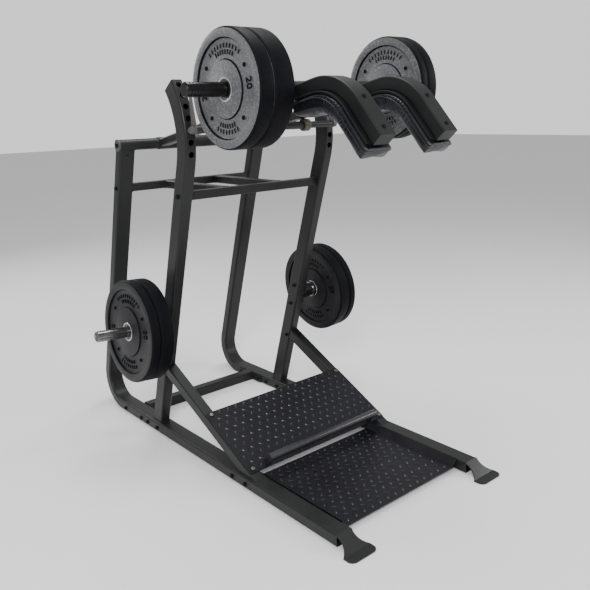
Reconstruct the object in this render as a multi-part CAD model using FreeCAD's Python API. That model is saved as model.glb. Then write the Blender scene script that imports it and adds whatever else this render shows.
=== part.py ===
import FreeCAD, Part
import os
from math import asin, atan2, cos, degrees, hypot, radians, sin, tan

# Leverage hack squat machine, millimetres.
# Z up from the floor. X runs across the machine and X = 0 is its plane of symmetry.
# The user stands at -Y and the lever pivots at +Y. The origin is the middle of the footprint.

V = FreeCAD.Vector
SIDES = {"left": -1, "right": 1}

# Main frame tubes: 3 in x 2 in rectangular tube
TUBE_WIDE = 76.0
TUBE_THIN = 51.0
TUBE_WALL = 3.0
TUBE_CORNER = 9.0
THIN_WALL = 2.5
THIN_CORNER = 5.0
SIDE_PITCH = 762.0
SIDE_X = SIDE_PITCH / 2
LEAN = radians(17.3)
RAIL_Z = TUBE_THIN / 2

# Rear upright and its bend into the base rail
REAR_LINE_Y = 746.5
LINE_Z = 800.0
REAR_BEND_R = 130.0
SEAM_REAR_Y = 372.0
SEAM_FRONT_Y = -340.0
RAIL_END_Y = -856.0
SEAM_GAP = 1.0
INSERT_LENGTH = 190.0
INSERT_IN_FRONT = 30.0
INSERT_GAP = 0.4
VENT_HOLE_R = 3.5
VENT_HOLE_DROP = 40.0

# Front upright
FRONT_LINE_Y = 209.0
FRONT_BEND_Z = 1308.0
FRONT_BEND_R = 362.0
TOP_LEAN = radians(35.6)
TOP_STRAIGHT = 3.0
PIN_HOLE_R = 12.5
PIN_HOLE_COUNT = 7
FIRST_HOLE_ANGLE = radians(-8.3)
HOLE_PITCH = 48.0
PLUG_GAP = 0.6
UPRIGHT_CAP_THICK = 4.0
UPRIGHT_PLUG_LENGTH = 14.0

# Pivot on top of the rear uprights
PIVOT_Z = 1387.0
HOUSING_R = 25.5
SHAFT_R = 12.7
SLEEVE_R = 28.5
SLEEVE_HALF = 214.0
BUSH_WALL = 3.0
BUSH_LENGTH = 40.0
RUNNING_CLEARANCE = 0.05
SIDE_CLEARANCE = 0.5
HOUSING_END_X = SIDE_X + TUBE_WIDE / 2
FRONT_FACE_X = SIDE_X + TUBE_THIN / 2
END_CAP_THICK = 5.0

# Stop bar
STOP_HOLE = 2
STOP_STANDOFF = 24.0
STOP_BAR_R = 15.0
STOP_BAR_MIDDLE_R = 17.0
STOP_BAR_HALF = 373.0
EAR_LENGTH = 124.0
EAR_HALF = 17.0
EAR_TIP_REAR = 10.0
EAR_TIP_FRONT = 5.0
ROLLER_R = 27.0
ROLLER_WIDTH = 34.0
ROLLER_X = 208.0
PIN_R = 12.0
PIN_LENGTH = 46.0
EAR_THICK = 6.0
TOUCH_GAP = 0.3

# Lever
HORN_Y = -389.5
HORN_Z = 1596.7
LEVER_WIDE = 51.0
LEVER_HIGH = 38.0
LEVER_X = 188.0
CROSSBAR_R = 30.0
CROSSBAR_HALF = 304.0
ARM_X = 165.0
ARM_DROP = radians(48.0)
ARM_BEND_R = 205.0
ARM_LEG_REAR = 275.5
ARM_LEG_FRONT = 278.0
ARM_CORNER_R = 6.0
ARM_CAP_THICK = 3.0
ARM_PLUG_LENGTH = 16.0
ARM_BOLT_R = 8.0
ARM_BOLT_HIGH = 2.5
ARM_BOLT_REACHES = (32.0, 165.0)
BOARD_THICK = 10.0
BOARD_WIDE = 116.0
PAD_WIDE = 142.0
PAD_THICK = 58.0
PAD_START = 62.0
PAD_OVERHANG = 10.0
PAD_CORNER = 20.0
PAD_GAP = 0.1
BOARD_INSET = 8.0
BOARD_CORNER = 3.0

# Horns and plates
HORN_R = 25.0
HORN_BORE_GAP = 0.3
HORN_COLLAR_R = 44.0
HORN_ROOT = 60.0
STORE_COLLAR_R = 34.0
STORE_STOP_R = 40.0
HORN_FLANGE_THICK = 8.0
HORN_FLANGE_WIDE = 64.0
HORN_FLANGE_LONG = 150.0
HORN_BOLT_REACH = 54.0
HORN_CHAMFER = 4.0
HORN_GROOVES = 4
GROOVE_FIRST = 16.0
GROOVE_PITCH = 12.0
GROOVE_WIDE = 4.0
GROOVE_DEEP = 1.5
TOP_HORN_TIP_X = 640.0
TOP_PLATE_R = 206.0
TOP_STACK_X = 328.0
TOP_INNER_THICK = {"left": 86.0, "right": 38.0}
TOP_OUTER_THICK = {"left": 62.0, "right": 54.0}
STORE_Z = 583.0
STORE_TILT = 4.0
STORE_TIP_X = 745.0
STORE_PLATE_R = 228.0
STORE_STACK_X = 492.0
STORE_INNER_THICK = 66.0
STORE_OUTER_THICK = 42.0
PLATE_GAP = 1.0
PLATE_EDGE_R = 7.0
PLATE_RECESS = 8.0
RIM_SHARE = 0.82
HUB_SHARE = 0.475
FREE_END_R = 24.0

# Mid-height brace frame
MID_Z = 1186.0
MID_TUBE = 38.0
MID_LONG_X = 148.0
MID_END_PLUG = 6.0

# Foot plates and braces
BRACE_TUBE = 51.0
TREAD_SLOPE = radians(26.1)
TREAD_TOP_Y = -4.5
TREAD_TOP_Z = 233.0
TREAD_LENGTH = 365.0
TREAD_THICK = 4.0
TREAD_HALF = 402.0
CALF_BAR_R = 17.5
CALF_BAR_HALF = 320.0
CALF_BAR_LIFT = 54.0
LOWER_PLATE_Z = 25.0
LOWER_PLATE_HALF = 315.0
LOWER_FRONT_Y = -812.0
LOWER_REAR_Y = -297.0
CROSS_TUBE_Y = 670.0
CROSS_FLANGE_THICK = 6.0
CROSS_FLANGE_LONG = 208.0
CROSS_FLANGE_HIGH = 36.0
CROSS_BOLT_REACH = 84.0
TOE_HALF = 67.0
TOE_FOLD = 43.0
TOE_THICK = 5.0
TOE_CORNER_R = 26.0
SCREW_INSET = 18.0
WEB_THICK = 6.0

# Fasteners
BOLT_R = 6.0
SCREW_R = 4.0
BRACE_BOLT_Z = 345.0
RAIL_BOLT_Z = 21.0
HEAD_R = 9.5
HEAD_HEIGHT = 7.0
HEAD_ROUND = 2.0
REAR_BOLTS = (SEAM_REAR_Y + 53, SEAM_REAR_Y + 149)
FRONT_BOLTS = (SEAM_FRONT_Y + 33, SEAM_FRONT_Y + 127)


def rounded_rect(wide, thin, corner, centre, across, along):
    """Face of a rounded rectangle, wide along across and thin along along."""
    a = wide / 2
    b = thin / 2
    c = corner
    k = c * (1 - cos(radians(45)))

    def at(u, v):
        return centre + across * u + along * v

    edges = []
    for su, sv in ((1, 1), (-1, 1), (-1, -1), (1, -1)):
        start = at(su * a, sv * (b - c)) if su == sv else at(su * (a - c), sv * b)
        middle = at(su * (a - k), sv * (b - k))
        end = at(su * (a - c), sv * b) if su == sv else at(su * a, sv * (b - c))
        edges.append(Part.Arc(start, middle, end).toShape())
        if su == sv:
            edges.append(Part.LineSegment(end, at(-su * (a - c), sv * b)).toShape())
        else:
            edges.append(Part.LineSegment(end, at(su * a, -sv * (b - c))).toShape())
    return Part.Face(Part.Wire(edges))


def side_path_solid(points, bend_r, wide, thin, corner, x):
    """Solid bar along a path in the side plane, wide across the machine."""
    across = V(1, 0, 0)
    nodes = [V(x, y, z) for y, z in points]
    pieces = []
    start = nodes[0]
    for i in range(1, len(nodes)):
        direction = (nodes[i] - nodes[i - 1]).normalize()
        normal = direction.cross(across)
        if i == len(nodes) - 1:
            stop = nodes[i]
        else:
            following = (nodes[i + 1] - nodes[i]).normalize()
            turn = direction.getAngle(following)
            cut = bend_r * tan(turn / 2)
            stop = nodes[i] - direction * cut
        face = rounded_rect(wide, thin, corner, start, across, normal)
        pieces.append(face.extrude(stop - start))
        if i < len(nodes) - 1:
            axis = direction.cross(following).normalize()
            centre = stop + axis.cross(direction) * bend_r
            bend_face = rounded_rect(wide, thin, corner, stop, across, normal)
            pieces.append(bend_face.revolve(centre, axis, degrees(turn)))
            start = nodes[i] + following * cut
    solid = pieces[0]
    for piece in pieces[1:]:
        solid = solid.fuse(piece)
    return solid.removeSplitter()


def side_tube(points, bend_r, wide, thin, x, wall=TUBE_WALL, corner=TUBE_CORNER):
    """Hollow tube along a path in the side plane."""
    outer = side_path_solid(points, bend_r, wide, thin, corner, x)
    inner = side_path_solid(points, bend_r, wide - 2 * wall, thin - 2 * wall, corner - wall, x)
    return outer.cut(inner)


def cross_tube(x_from, x_to, y, z, size, wall=THIN_WALL, corner=THIN_CORNER):
    """Square tube that runs across the machine."""
    along = V(x_to - x_from, 0, 0)
    start = V(x_from, y, z)
    outer = rounded_rect(size, size, corner, start, V(0, 1, 0), V(0, 0, 1)).extrude(along)
    core = size - 2 * wall
    inner = rounded_rect(core, core, corner - wall, start, V(0, 1, 0), V(0, 0, 1)).extrude(along)
    return outer.cut(inner)


def rod(x_from, x_to, y, z, radius):
    low = min(x_from, x_to)
    return Part.makeCylinder(radius, abs(x_to - x_from), V(low, y, z), V(1, 0, 0))


def ring(x_from, x_to, y, z, outer_r, inner_r):
    return rod(x_from, x_to, y, z, outer_r).cut(rod(x_from, x_to, y, z, inner_r))


def line_y(y_at_line, z):
    """Y of a leaning upright's centre line at height z."""
    return y_at_line - (z - LINE_Z) * tan(LEAN)


def compound(solids):
    return Part.makeCompound(solids)


def export(shape, node):
    shape.exportStep("parts/" + node + ".step")


def bolt_head(point, direction):
    """Domed cap head with its seat at point."""
    head = Part.makeCylinder(HEAD_R, HEAD_HEIGHT, point, direction)
    rim = [e for e in head.Edges if e.Length > 2 * HEAD_R and (e.CenterOfMass - point).Length > 1]
    return head.makeFillet(HEAD_ROUND, rim[:1])


# Points that several pieces share
RAIL_CORNER_Y = line_y(REAR_LINE_Y, RAIL_Z)
BEND_TURN = radians(90) + LEAN
REAR_MOST_Y = RAIL_CORNER_Y - REAR_BEND_R * tan(BEND_TURN / 2) + REAR_BEND_R + TUBE_THIN / 2
TOE_FRONT_Y = -REAR_MOST_Y
PIVOT_Y = line_y(REAR_LINE_Y, PIVOT_Z)
BEND_START_Y = line_y(FRONT_LINE_Y, FRONT_BEND_Z)
BEND_CENTRE_Y = BEND_START_Y + FRONT_BEND_R * cos(LEAN)
BEND_CENTRE_Z = FRONT_BEND_Z + FRONT_BEND_R * sin(LEAN)
TOP_END_Y = BEND_CENTRE_Y - FRONT_BEND_R * cos(TOP_LEAN) + TOP_STRAIGHT * sin(TOP_LEAN)
TOP_END_Z = BEND_CENTRE_Z + FRONT_BEND_R * sin(TOP_LEAN) + TOP_STRAIGHT * cos(TOP_LEAN)
FACE_R = FRONT_BEND_R + TUBE_WIDE / 2
STOP_ANGLE = FIRST_HOLE_ANGLE + STOP_HOLE * HOLE_PITCH / FACE_R
STOP_Y = BEND_CENTRE_Y - (FACE_R + STOP_STANDOFF) * cos(STOP_ANGLE)
STOP_Z = BEND_CENTRE_Z + (FACE_R + STOP_STANDOFF) * sin(STOP_ANGLE)
STOP_OUT = V(0, -cos(STOP_ANGLE), sin(STOP_ANGLE))
STOP_DISTANCE = hypot(STOP_Y - PIVOT_Y, STOP_Z - PIVOT_Z)
REST_CONTACT = ROLLER_R + LEVER_HIGH / 2 + TOUCH_GAP
LEVER_ANGLE = atan2(STOP_Z - PIVOT_Z, PIVOT_Y - STOP_Y) + asin(REST_CONTACT / STOP_DISTANCE)
LEVER_END_Z = PIVOT_Z + (PIVOT_Y - HORN_Y) * tan(LEVER_ANGLE)
STORE_Y = line_y(FRONT_LINE_Y, STORE_Z)
ARM_CORNER_Y = HORN_Y - ARM_LEG_REAR * cos(LEVER_ANGLE)
ARM_CORNER_Z = LEVER_END_Z + ARM_LEG_REAR * sin(LEVER_ANGLE)
ARM_END_Y = ARM_CORNER_Y - ARM_LEG_FRONT * cos(ARM_DROP)
ARM_END_Z = ARM_CORNER_Z - ARM_LEG_FRONT * sin(ARM_DROP)
TREAD_DOWN = V(0, -cos(TREAD_SLOPE), -sin(TREAD_SLOPE))
TREAD_UP = V(0, -sin(TREAD_SLOPE), cos(TREAD_SLOPE))
TREAD_TOP = V(0, TREAD_TOP_Y, TREAD_TOP_Z)


def rear_upright(x):
    """Base rail end, bend and rear upright in one tube, coped round the pivot housing."""
    points = [
        (SEAM_REAR_Y + SEAM_GAP / 2, RAIL_Z),
        (RAIL_CORNER_Y, RAIL_Z),
        (PIVOT_Y, PIVOT_Z),
    ]
    tube = side_tube(points, REAR_BEND_R, TUBE_WIDE, TUBE_THIN, x)
    cope = rod(x - TUBE_WIDE, x + TUBE_WIDE, PIVOT_Y, PIVOT_Z, HOUSING_R)
    tube = tube.cut(cope)
    hole_z = PIVOT_Z - VENT_HOLE_DROP
    hole_y = line_y(REAR_LINE_Y, hole_z)
    drill = Part.makeCylinder(VENT_HOLE_R, TUBE_THIN, V(x, hole_y, hole_z), V(0, -cos(LEAN), -sin(LEAN)))
    return tube.cut(drill)


def straight_rail(x, y_from, y_to):
    return side_tube([(y_from, RAIL_Z), (y_to, RAIL_Z)], 0, TUBE_WIDE, TUBE_THIN, x)


def rail_insert(x, seam_y):
    """Inner sleeve that joins two rail sections across a seam."""
    wide = TUBE_WIDE - 2 * TUBE_WALL - INSERT_GAP
    thin = TUBE_THIN - 2 * TUBE_WALL - INSERT_GAP
    front = seam_y - INSERT_IN_FRONT
    rear = front + INSERT_LENGTH
    return side_tube([(front, RAIL_Z), (rear, RAIL_Z)], 0, wide, thin, x, wall=3.0, corner=5.5)


def toe_plate(x):
    """Bent steel toe that closes the rail's front end and spreads out flat on the floor."""
    half = TUBE_WIDE / 2
    fold_y = TOE_FRONT_Y + TOE_FOLD
    top = V(x, RAIL_END_Y, TUBE_THIN)
    slope = V(0, fold_y - RAIL_END_Y, TOE_THICK - TUBE_THIN)
    run = slope.Length
    down = V(slope).normalize()
    across = V(1, 0, 0)
    plan = []
    for u, v in ((half, 0), (half - 4, run * 0.3), (TOE_HALF, run)):
        plan.append(top + across * u + down * v)
    left = [top - across * (p.x - x) + down * (p - top).dot(down) for p in plan]
    right_curve = Part.BSplineCurve()
    right_curve.interpolate(plan)
    left_curve = Part.BSplineCurve()
    left_curve.interpolate(left)
    edges = [
        Part.LineSegment(left[0], plan[0]).toShape(),
        right_curve.toShape(),
        Part.LineSegment(plan[2], left[2]).toShape(),
        left_curve.toShape(),
    ]
    sloped = Part.Face(Part.Wire(Part.__sortEdges__(edges)))
    thickness = V(0, down.z, -down.y) * TOE_THICK
    if thickness.z > 0:
        thickness = thickness * -1
    sloped = sloped.extrude(thickness)
    flat = Part.makeBox(2 * TOE_HALF, TOE_FOLD + 2, TOE_THICK, V(x - TOE_HALF, TOE_FRONT_Y, 0))
    upright_edges = [e for e in flat.Edges if abs(e.CenterOfMass.y - TOE_FRONT_Y) < 1e-6
                     and abs(e.CenterOfMass.z - TOE_THICK / 2) < 1e-6]
    flat = flat.makeFillet(TOE_CORNER_R, upright_edges)
    solid = sloped.fuse(flat)
    below = Part.makeBox(400, 400, 50, V(x - 200, TOE_FRONT_Y - 100, -50))
    return solid.cut(below).removeSplitter()


def front_upright(x):
    """Leaning upright with its curved, drilled top."""
    half_turn = (LEAN + TOP_LEAN) / 2
    corner_y = BEND_START_Y - FRONT_BEND_R * tan(half_turn) * sin(LEAN)
    corner_z = FRONT_BEND_Z + FRONT_BEND_R * tan(half_turn) * cos(LEAN)
    start_z = TUBE_THIN - 30
    points = [
        (line_y(FRONT_LINE_Y, start_z), start_z),
        (corner_y, corner_z),
        (TOP_END_Y, TOP_END_Z),
    ]
    tube = side_tube(points, FRONT_BEND_R, TUBE_THIN, TUBE_WIDE, x)
    below = Part.makeBox(200, 400, 100, V(x - 100, points[0][0] - 200, TUBE_THIN - 100))
    tube = tube.cut(below)
    for i in range(PIN_HOLE_COUNT):
        angle = FIRST_HOLE_ANGLE + i * HOLE_PITCH / FACE_R
        inner = FACE_R - 12
        start = V(x, BEND_CENTRE_Y - inner * cos(angle), BEND_CENTRE_Z + inner * sin(angle))
        tube = tube.cut(Part.makeCylinder(PIN_HOLE_R, 30, start, V(0, -cos(angle), sin(angle))))
    return tube


def upright_cap(x):
    """Moulded plug in the top end of a front upright."""
    out = V(0, sin(TOP_LEAN), cos(TOP_LEAN))
    across = V(1, 0, 0)
    along = out.cross(across)
    centre = V(x, TOP_END_Y, TOP_END_Z) + out * 0.05
    cover = rounded_rect(TUBE_THIN, TUBE_WIDE, TUBE_CORNER, centre, across, along)
    cover = cover.extrude(out * UPRIGHT_CAP_THICK)
    bore_w = TUBE_THIN - 2 * TUBE_WALL - PLUG_GAP
    bore_t = TUBE_WIDE - 2 * TUBE_WALL - PLUG_GAP
    plug = rounded_rect(bore_w, bore_t, 5, centre, across, along).extrude(out * -UPRIGHT_PLUG_LENGTH)
    return cover.fuse(plug)


def diagonal_brace(x):
    """Square tube from the rail up to the front upright; its top face carries the tread plate."""
    half = BRACE_TUBE / 2
    start = TREAD_TOP - TREAD_UP * (TREAD_THICK + half)
    up_hill = TREAD_DOWN * -1
    low = start + TREAD_DOWN * 520
    high = start + up_hill * 420
    tube = side_tube([(low.y, low.z), (high.y, high.z)], 0, BRACE_TUBE, BRACE_TUBE, x, corner=6.0)
    floor_cut = Part.makeBox(200, 1400, 300, V(x - 100, low.y - 200, TUBE_THIN - 300))
    tube = tube.cut(floor_cut)
    foot_y = line_y(FRONT_LINE_Y, 0)
    front_face = -TUBE_WIDE / 2 / cos(LEAN)
    behind = [V(x - 100, line_y(FRONT_LINE_Y, z) + front_face, z) for z in (-200, 900)]
    behind += [V(x - 100, foot_y + 900, 900), V(x - 100, foot_y + 900, -200)]
    block = Part.Face(Part.makePolygon(behind + [behind[0]])).extrude(V(200, 0, 0))
    return tube.cut(block)


def rear_cross_tube():
    """Square tube between the rails with a low bolting flange at each end."""
    inner_face = SIDE_X - TUBE_WIDE / 2
    reach = inner_face - CROSS_FLANGE_THICK
    tube = cross_tube(-reach, reach, CROSS_TUBE_Y, RAIL_Z, TUBE_THIN)
    flanges = []
    for s in SIDES.values():
        corner = V(min(s * inner_face, s * reach), CROSS_TUBE_Y - CROSS_FLANGE_LONG / 2, 3)
        flanges.append(Part.makeBox(CROSS_FLANGE_THICK, CROSS_FLANGE_LONG, CROSS_FLANGE_HIGH, corner))
    return compound([tube] + flanges)


def mid_cross(y, half_span):
    """Square cross tube with a threaded plug in each end, bolted between the uprights."""
    tube = cross_tube(-half_span, half_span, y, MID_Z, MID_TUBE)
    core = MID_TUBE - 2 * THIN_WALL
    plugs = []
    for s in SIDES.values():
        low = min(s * half_span, s * (half_span - MID_END_PLUG))
        plugs.append(Part.makeBox(MID_END_PLUG, core, core, V(low, y - core / 2, MID_Z - core / 2)))
    return tube.fuse(plugs).removeSplitter()


def mid_long(x):
    y_from = line_y(FRONT_LINE_Y, MID_Z) + MID_TUBE / 2
    y_to = line_y(REAR_LINE_Y, MID_Z) - MID_TUBE / 2
    return side_tube([(y_from, MID_Z), (y_to, MID_Z)], 0, MID_TUBE, MID_TUBE, x, THIN_WALL, THIN_CORNER)


def upper_tread():
    """Tilted tread plate that lies on the two braces."""
    start = TREAD_TOP - TREAD_UP * TREAD_THICK
    a = V(-TREAD_HALF, start.y, start.z)
    b = V(TREAD_HALF, start.y, start.z)
    c = b + TREAD_DOWN * TREAD_LENGTH
    d = a + TREAD_DOWN * TREAD_LENGTH
    plate = Part.Face(Part.makePolygon([a, b, c, d, a])).extrude(TREAD_UP * TREAD_THICK)
    corners = [e for e in plate.Edges if abs(e.Length - TREAD_THICK) < 1e-3]
    plate = plate.makeFillet(8.0, corners)
    for screw in tread_screws():
        plate = plate.cut(screw)
    return plate


def tread_screw_points():
    points = []
    for s in SIDES.values():
        for reach in (SCREW_INSET, TREAD_LENGTH - SCREW_INSET):
            points.append(V(s * SIDE_X, TREAD_TOP.y, TREAD_TOP.z) + TREAD_DOWN * reach)
    return points


def tread_screws():
    """Dome-head screws that hold the tilted plate to the braces."""
    screws = []
    for point in tread_screw_points():
        shank = Part.makeCylinder(SCREW_R, TREAD_THICK, point, TREAD_UP * -1)
        screws.append(bolt_head(point, TREAD_UP).fuse(shank))
    return screws


def calf_bar():
    """Round bar over the lower edge of the tilted plate, on two welded brackets."""
    edge = TREAD_TOP + TREAD_DOWN * (TREAD_LENGTH - 5)
    axis = edge + TREAD_UP * CALF_BAR_LIFT
    bar = rod(-CALF_BAR_HALF, CALF_BAR_HALF, axis.y, axis.z, CALF_BAR_R)
    bar = bar.cut(rod(-CALF_BAR_HALF + 4, CALF_BAR_HALF - 4, axis.y, axis.z, CALF_BAR_R - 3))
    webs = []
    for s in SIDES.values():
        x = s * (CALF_BAR_HALF - 14)
        corner = V(x - WEB_THICK / 2, edge.y, edge.z)
        quad = [
            corner - TREAD_DOWN * 34,
            corner + TREAD_DOWN * 5,
            corner + TREAD_DOWN * 8 + TREAD_UP * (CALF_BAR_LIFT - 6),
            corner - TREAD_DOWN * 12 + TREAD_UP * (CALF_BAR_LIFT - 6),
        ]
        web = Part.Face(Part.makePolygon(quad + [quad[0]])).extrude(V(WEB_THICK, 0, 0))
        inside = rod(x - 10, x + 10, axis.y, axis.z, CALF_BAR_R)
        webs.append(web.cut(inside))
    return compound([bar] + webs)


def lower_tread():
    """Folded tread pan between the front rails: a flat floor with raised sides."""
    inner_face = SIDE_X - TUBE_WIDE / 2
    t = TREAD_THICK
    z = LOWER_PLATE_Z
    rise = inner_face - LOWER_PLATE_HALF
    top = [(-inner_face, z + rise), (-LOWER_PLATE_HALF, z), (LOWER_PLATE_HALF, z), (inner_face, z + rise)]
    shift = t * tan(radians(22.5))
    under = [(inner_face, z + rise - t / cos(radians(45))), (LOWER_PLATE_HALF + shift, z - t)]
    under += [(-LOWER_PLATE_HALF - shift, z - t), (-inner_face, z + rise - t / cos(radians(45)))]
    outline = [V(x, LOWER_FRONT_Y, h) for x, h in top + under]
    section = Part.Face(Part.makePolygon(outline + [outline[0]]))
    return section.extrude(V(0, LOWER_REAR_Y - LOWER_FRONT_Y, 0))


def grooved_horn(s, x_root, x_tip, y, z):
    """Round horn with a chamfered end and four shallow rings near the tip."""
    horn = rod(s * x_root, s * x_tip, y, z, HORN_R)
    end = [e for e in horn.Edges if abs(e.CenterOfMass.x - s * x_tip) < 1e-3 and e.Length > 100]
    horn = horn.makeChamfer(HORN_CHAMFER, end)
    for i in range(HORN_GROOVES):
        x = x_tip - GROOVE_FIRST - GROOVE_PITCH * i
        groove = ring(s * x, s * (x - GROOVE_WIDE), y, z, HORN_R + 1, HORN_R - GROOVE_DEEP)
        horn = horn.cut(groove)
    return horn


def tilt_store(shape, s):
    """Turn a storage horn or plate outer end up about the horn's root on the upright."""
    root = V(s * FRONT_FACE_X, STORE_Y, STORE_Z)
    shape.rotate(root, V(0, 1, 0), -s * STORE_TILT)
    return shape


def storage_horn(s):
    """Plate-storage horn on a flange that bolts to the outer side of the front upright."""
    seat_x = FRONT_FACE_X + HORN_FLANGE_THICK
    horn = grooved_horn(s, seat_x - 6, STORE_TIP_X, STORE_Y, STORE_Z)
    free_x = STORE_STACK_X + STORE_INNER_THICK + PLATE_GAP + STORE_OUTER_THICK + 1
    turned = ring(s * free_x, s * (STORE_TIP_X + 1), STORE_Y, STORE_Z, HORN_R + 1, FREE_END_R)
    horn = horn.cut(turned)
    collar_x = STORE_STACK_X - 1
    collar = ring(s * (seat_x - 6), s * collar_x, STORE_Y, STORE_Z, STORE_COLLAR_R, HORN_R)
    stop = ring(s * (collar_x - 14), s * collar_x, STORE_Y, STORE_Z, STORE_STOP_R, STORE_COLLAR_R)
    low = min(s * FRONT_FACE_X, s * seat_x)
    corner = V(low, STORE_Y - HORN_FLANGE_WIDE / 2, STORE_Z - HORN_FLANGE_LONG / 2)
    flange = Part.makeBox(HORN_FLANGE_THICK, HORN_FLANGE_WIDE, HORN_FLANGE_LONG, corner)
    flange.rotate(V(0, STORE_Y, STORE_Z), V(1, 0, 0), degrees(LEAN))
    tilted = [tilt_store(shape, s).cut(flange) for shape in (horn, collar.fuse(stop).removeSplitter())]
    inside_x = min(s * FRONT_FACE_X, s * (FRONT_FACE_X - TUBE_THIN))
    corner = V(inside_x, STORE_Y - TUBE_THIN, STORE_Z - TUBE_THIN)
    behind = Part.makeBox(TUBE_THIN, 2 * TUBE_THIN, 2 * TUBE_THIN, corner)
    return compound([biggest(shape.cut(behind)) for shape in tilted] + [flange])


def pivot_housing(s):
    """Fixed tube welded to the top of the rear upright; it holds one end of the shaft."""
    inner_end = SLEEVE_HALF + SIDE_CLEARANCE
    tube = ring(s * inner_end, s * HOUSING_END_X, PIVOT_Y, PIVOT_Z, HOUSING_R, HOUSING_R - 4)
    bosses = []
    for a, b in ((inner_end, inner_end + 14), (HOUSING_END_X - 15, HOUSING_END_X)):
        bosses.append(ring(s * a, s * b, PIVOT_Y, PIVOT_Z, HOUSING_R - 3, SHAFT_R))
    return tube.fuse(bosses).removeSplitter()


def pivot_shaft():
    return rod(-HOUSING_END_X + 3, HOUSING_END_X - 3, PIVOT_Y, PIVOT_Z, SHAFT_R)


def pivot_end_cap(s):
    """Flat cover disc on the outer end of the pivot housing."""
    outer_x = HOUSING_END_X + END_CAP_THICK
    return ring(s * HOUSING_END_X, s * outer_x, PIVOT_Y, PIVOT_Z, HOUSING_R + 2, BOLT_R)


def pivot_end_bolt(s):
    outer_x = HOUSING_END_X + END_CAP_THICK
    shank = rod(s * (HOUSING_END_X - 3), s * outer_x, PIVOT_Y, PIVOT_Z, BOLT_R)
    return shank.fuse(bolt_head(V(s * outer_x, PIVOT_Y, PIVOT_Z), V(s, 0, 0)))


def lever_sleeve():
    """Sleeve of the lever that turns on the pivot shaft."""
    bore = SHAFT_R + RUNNING_CLEARANCE + BUSH_WALL
    outer = rod(-SLEEVE_HALF, SLEEVE_HALF, PIVOT_Y, PIVOT_Z, SLEEVE_R)
    outer = outer.cut(rod(-SLEEVE_HALF, SLEEVE_HALF, PIVOT_Y, PIVOT_Z, bore))
    relief = rod(-SLEEVE_HALF + BUSH_LENGTH + 6, SLEEVE_HALF - BUSH_LENGTH - 6, PIVOT_Y, PIVOT_Z, bore + 6)
    return outer.cut(relief)


def pivot_bushes():
    bore = SHAFT_R + RUNNING_CLEARANCE
    bushes = []
    for s in SIDES.values():
        near = s * (SLEEVE_HALF - BUSH_LENGTH)
        bushes.append(ring(near, s * SLEEVE_HALF, PIVOT_Y, PIVOT_Z, bore + BUSH_WALL, bore))
    return compound(bushes)


def lever_tube(s):
    """Side tube of the lever, coped onto the sleeve and the crossbar."""
    x = s * LEVER_X
    points = [(PIVOT_Y, PIVOT_Z), (HORN_Y, LEVER_END_Z)]
    tube = side_tube(points, 0, LEVER_WIDE, LEVER_HIGH, x, corner=8.0)
    tube = tube.cut(rod(x - 60, x + 60, PIVOT_Y, PIVOT_Z, SLEEVE_R))
    tube = tube.cut(rod(x - 60, x + 60, HORN_Y, HORN_Z, CROSSBAR_R))
    return biggest(tube)


def biggest(shape):
    solids = sorted(shape.Solids, key=lambda solid: solid.Volume)
    return solids[-1]


def crossbar():
    return ring(-CROSSBAR_HALF, CROSSBAR_HALF, HORN_Y, HORN_Z, CROSSBAR_R, HORN_R)


def load_horn(s):
    """Weight horn with the collar that the plates rest against."""
    horn = grooved_horn(s, CROSSBAR_HALF - HORN_ROOT, TOP_HORN_TIP_X, HORN_Y, HORN_Z)
    collar = ring(s * CROSSBAR_HALF, s * (TOP_STACK_X - 1), HORN_Y, HORN_Z, HORN_COLLAR_R, HORN_R)
    return compound([horn, collar])


def arm_points(depth):
    """Arm path moved down by depth from its centre line, square to each leg."""
    rise = V(0, -cos(LEVER_ANGLE), sin(LEVER_ANGLE))
    drop = V(0, -cos(ARM_DROP), -sin(ARM_DROP))
    across = V(1, 0, 0)
    n_rise = across.cross(rise)
    n_drop = across.cross(drop)
    start = V(0, HORN_Y, LEVER_END_Z) + n_rise * depth
    corner = V(0, ARM_CORNER_Y, ARM_CORNER_Z)
    corner = corner + (n_rise + n_drop) * (depth / (1 + n_rise.dot(n_drop)))
    end = V(0, ARM_END_Y, ARM_END_Z) + n_drop * depth
    return start, corner, end


def shoulder_arm(s):
    start, corner, end = arm_points(0)
    points = [(start.y, start.z), (corner.y, corner.z), (end.y, end.z)]
    tube = side_tube(points, ARM_BEND_R, TUBE_WIDE, TUBE_THIN, s * ARM_X, corner=ARM_CORNER_R)
    tube = tube.cut(rod(s * ARM_X - 60, s * ARM_X + 60, HORN_Y, HORN_Z, CROSSBAR_R))
    return biggest(tube)


def arm_layer(s, depth, wide, thin, corner_r, trim_rear, trim_front):
    """Curved board or pad that follows the underside of an arm."""
    start, corner, end = arm_points(depth)
    first = (corner - start).normalize()
    last = (end - corner).normalize()
    start = start + first * trim_rear
    end = end - last * trim_front
    points = [(start.y, start.z), (corner.y, corner.z), (end.y, end.z)]
    return side_path_solid(points, ARM_BEND_R - depth, wide, thin, corner_r, s * ARM_X)


def pad_board(s):
    depth = TUBE_THIN / 2 + BOARD_THICK / 2
    start = PAD_START + BOARD_INSET
    return arm_layer(s, depth, BOARD_WIDE, BOARD_THICK, BOARD_CORNER, start, BOARD_INSET)


def shoulder_pad(s):
    depth = TUBE_THIN / 2 + BOARD_THICK + PAD_GAP + PAD_THICK / 2
    return arm_layer(s, depth, PAD_WIDE, PAD_THICK, PAD_CORNER, PAD_START, -PAD_OVERHANG)


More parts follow.
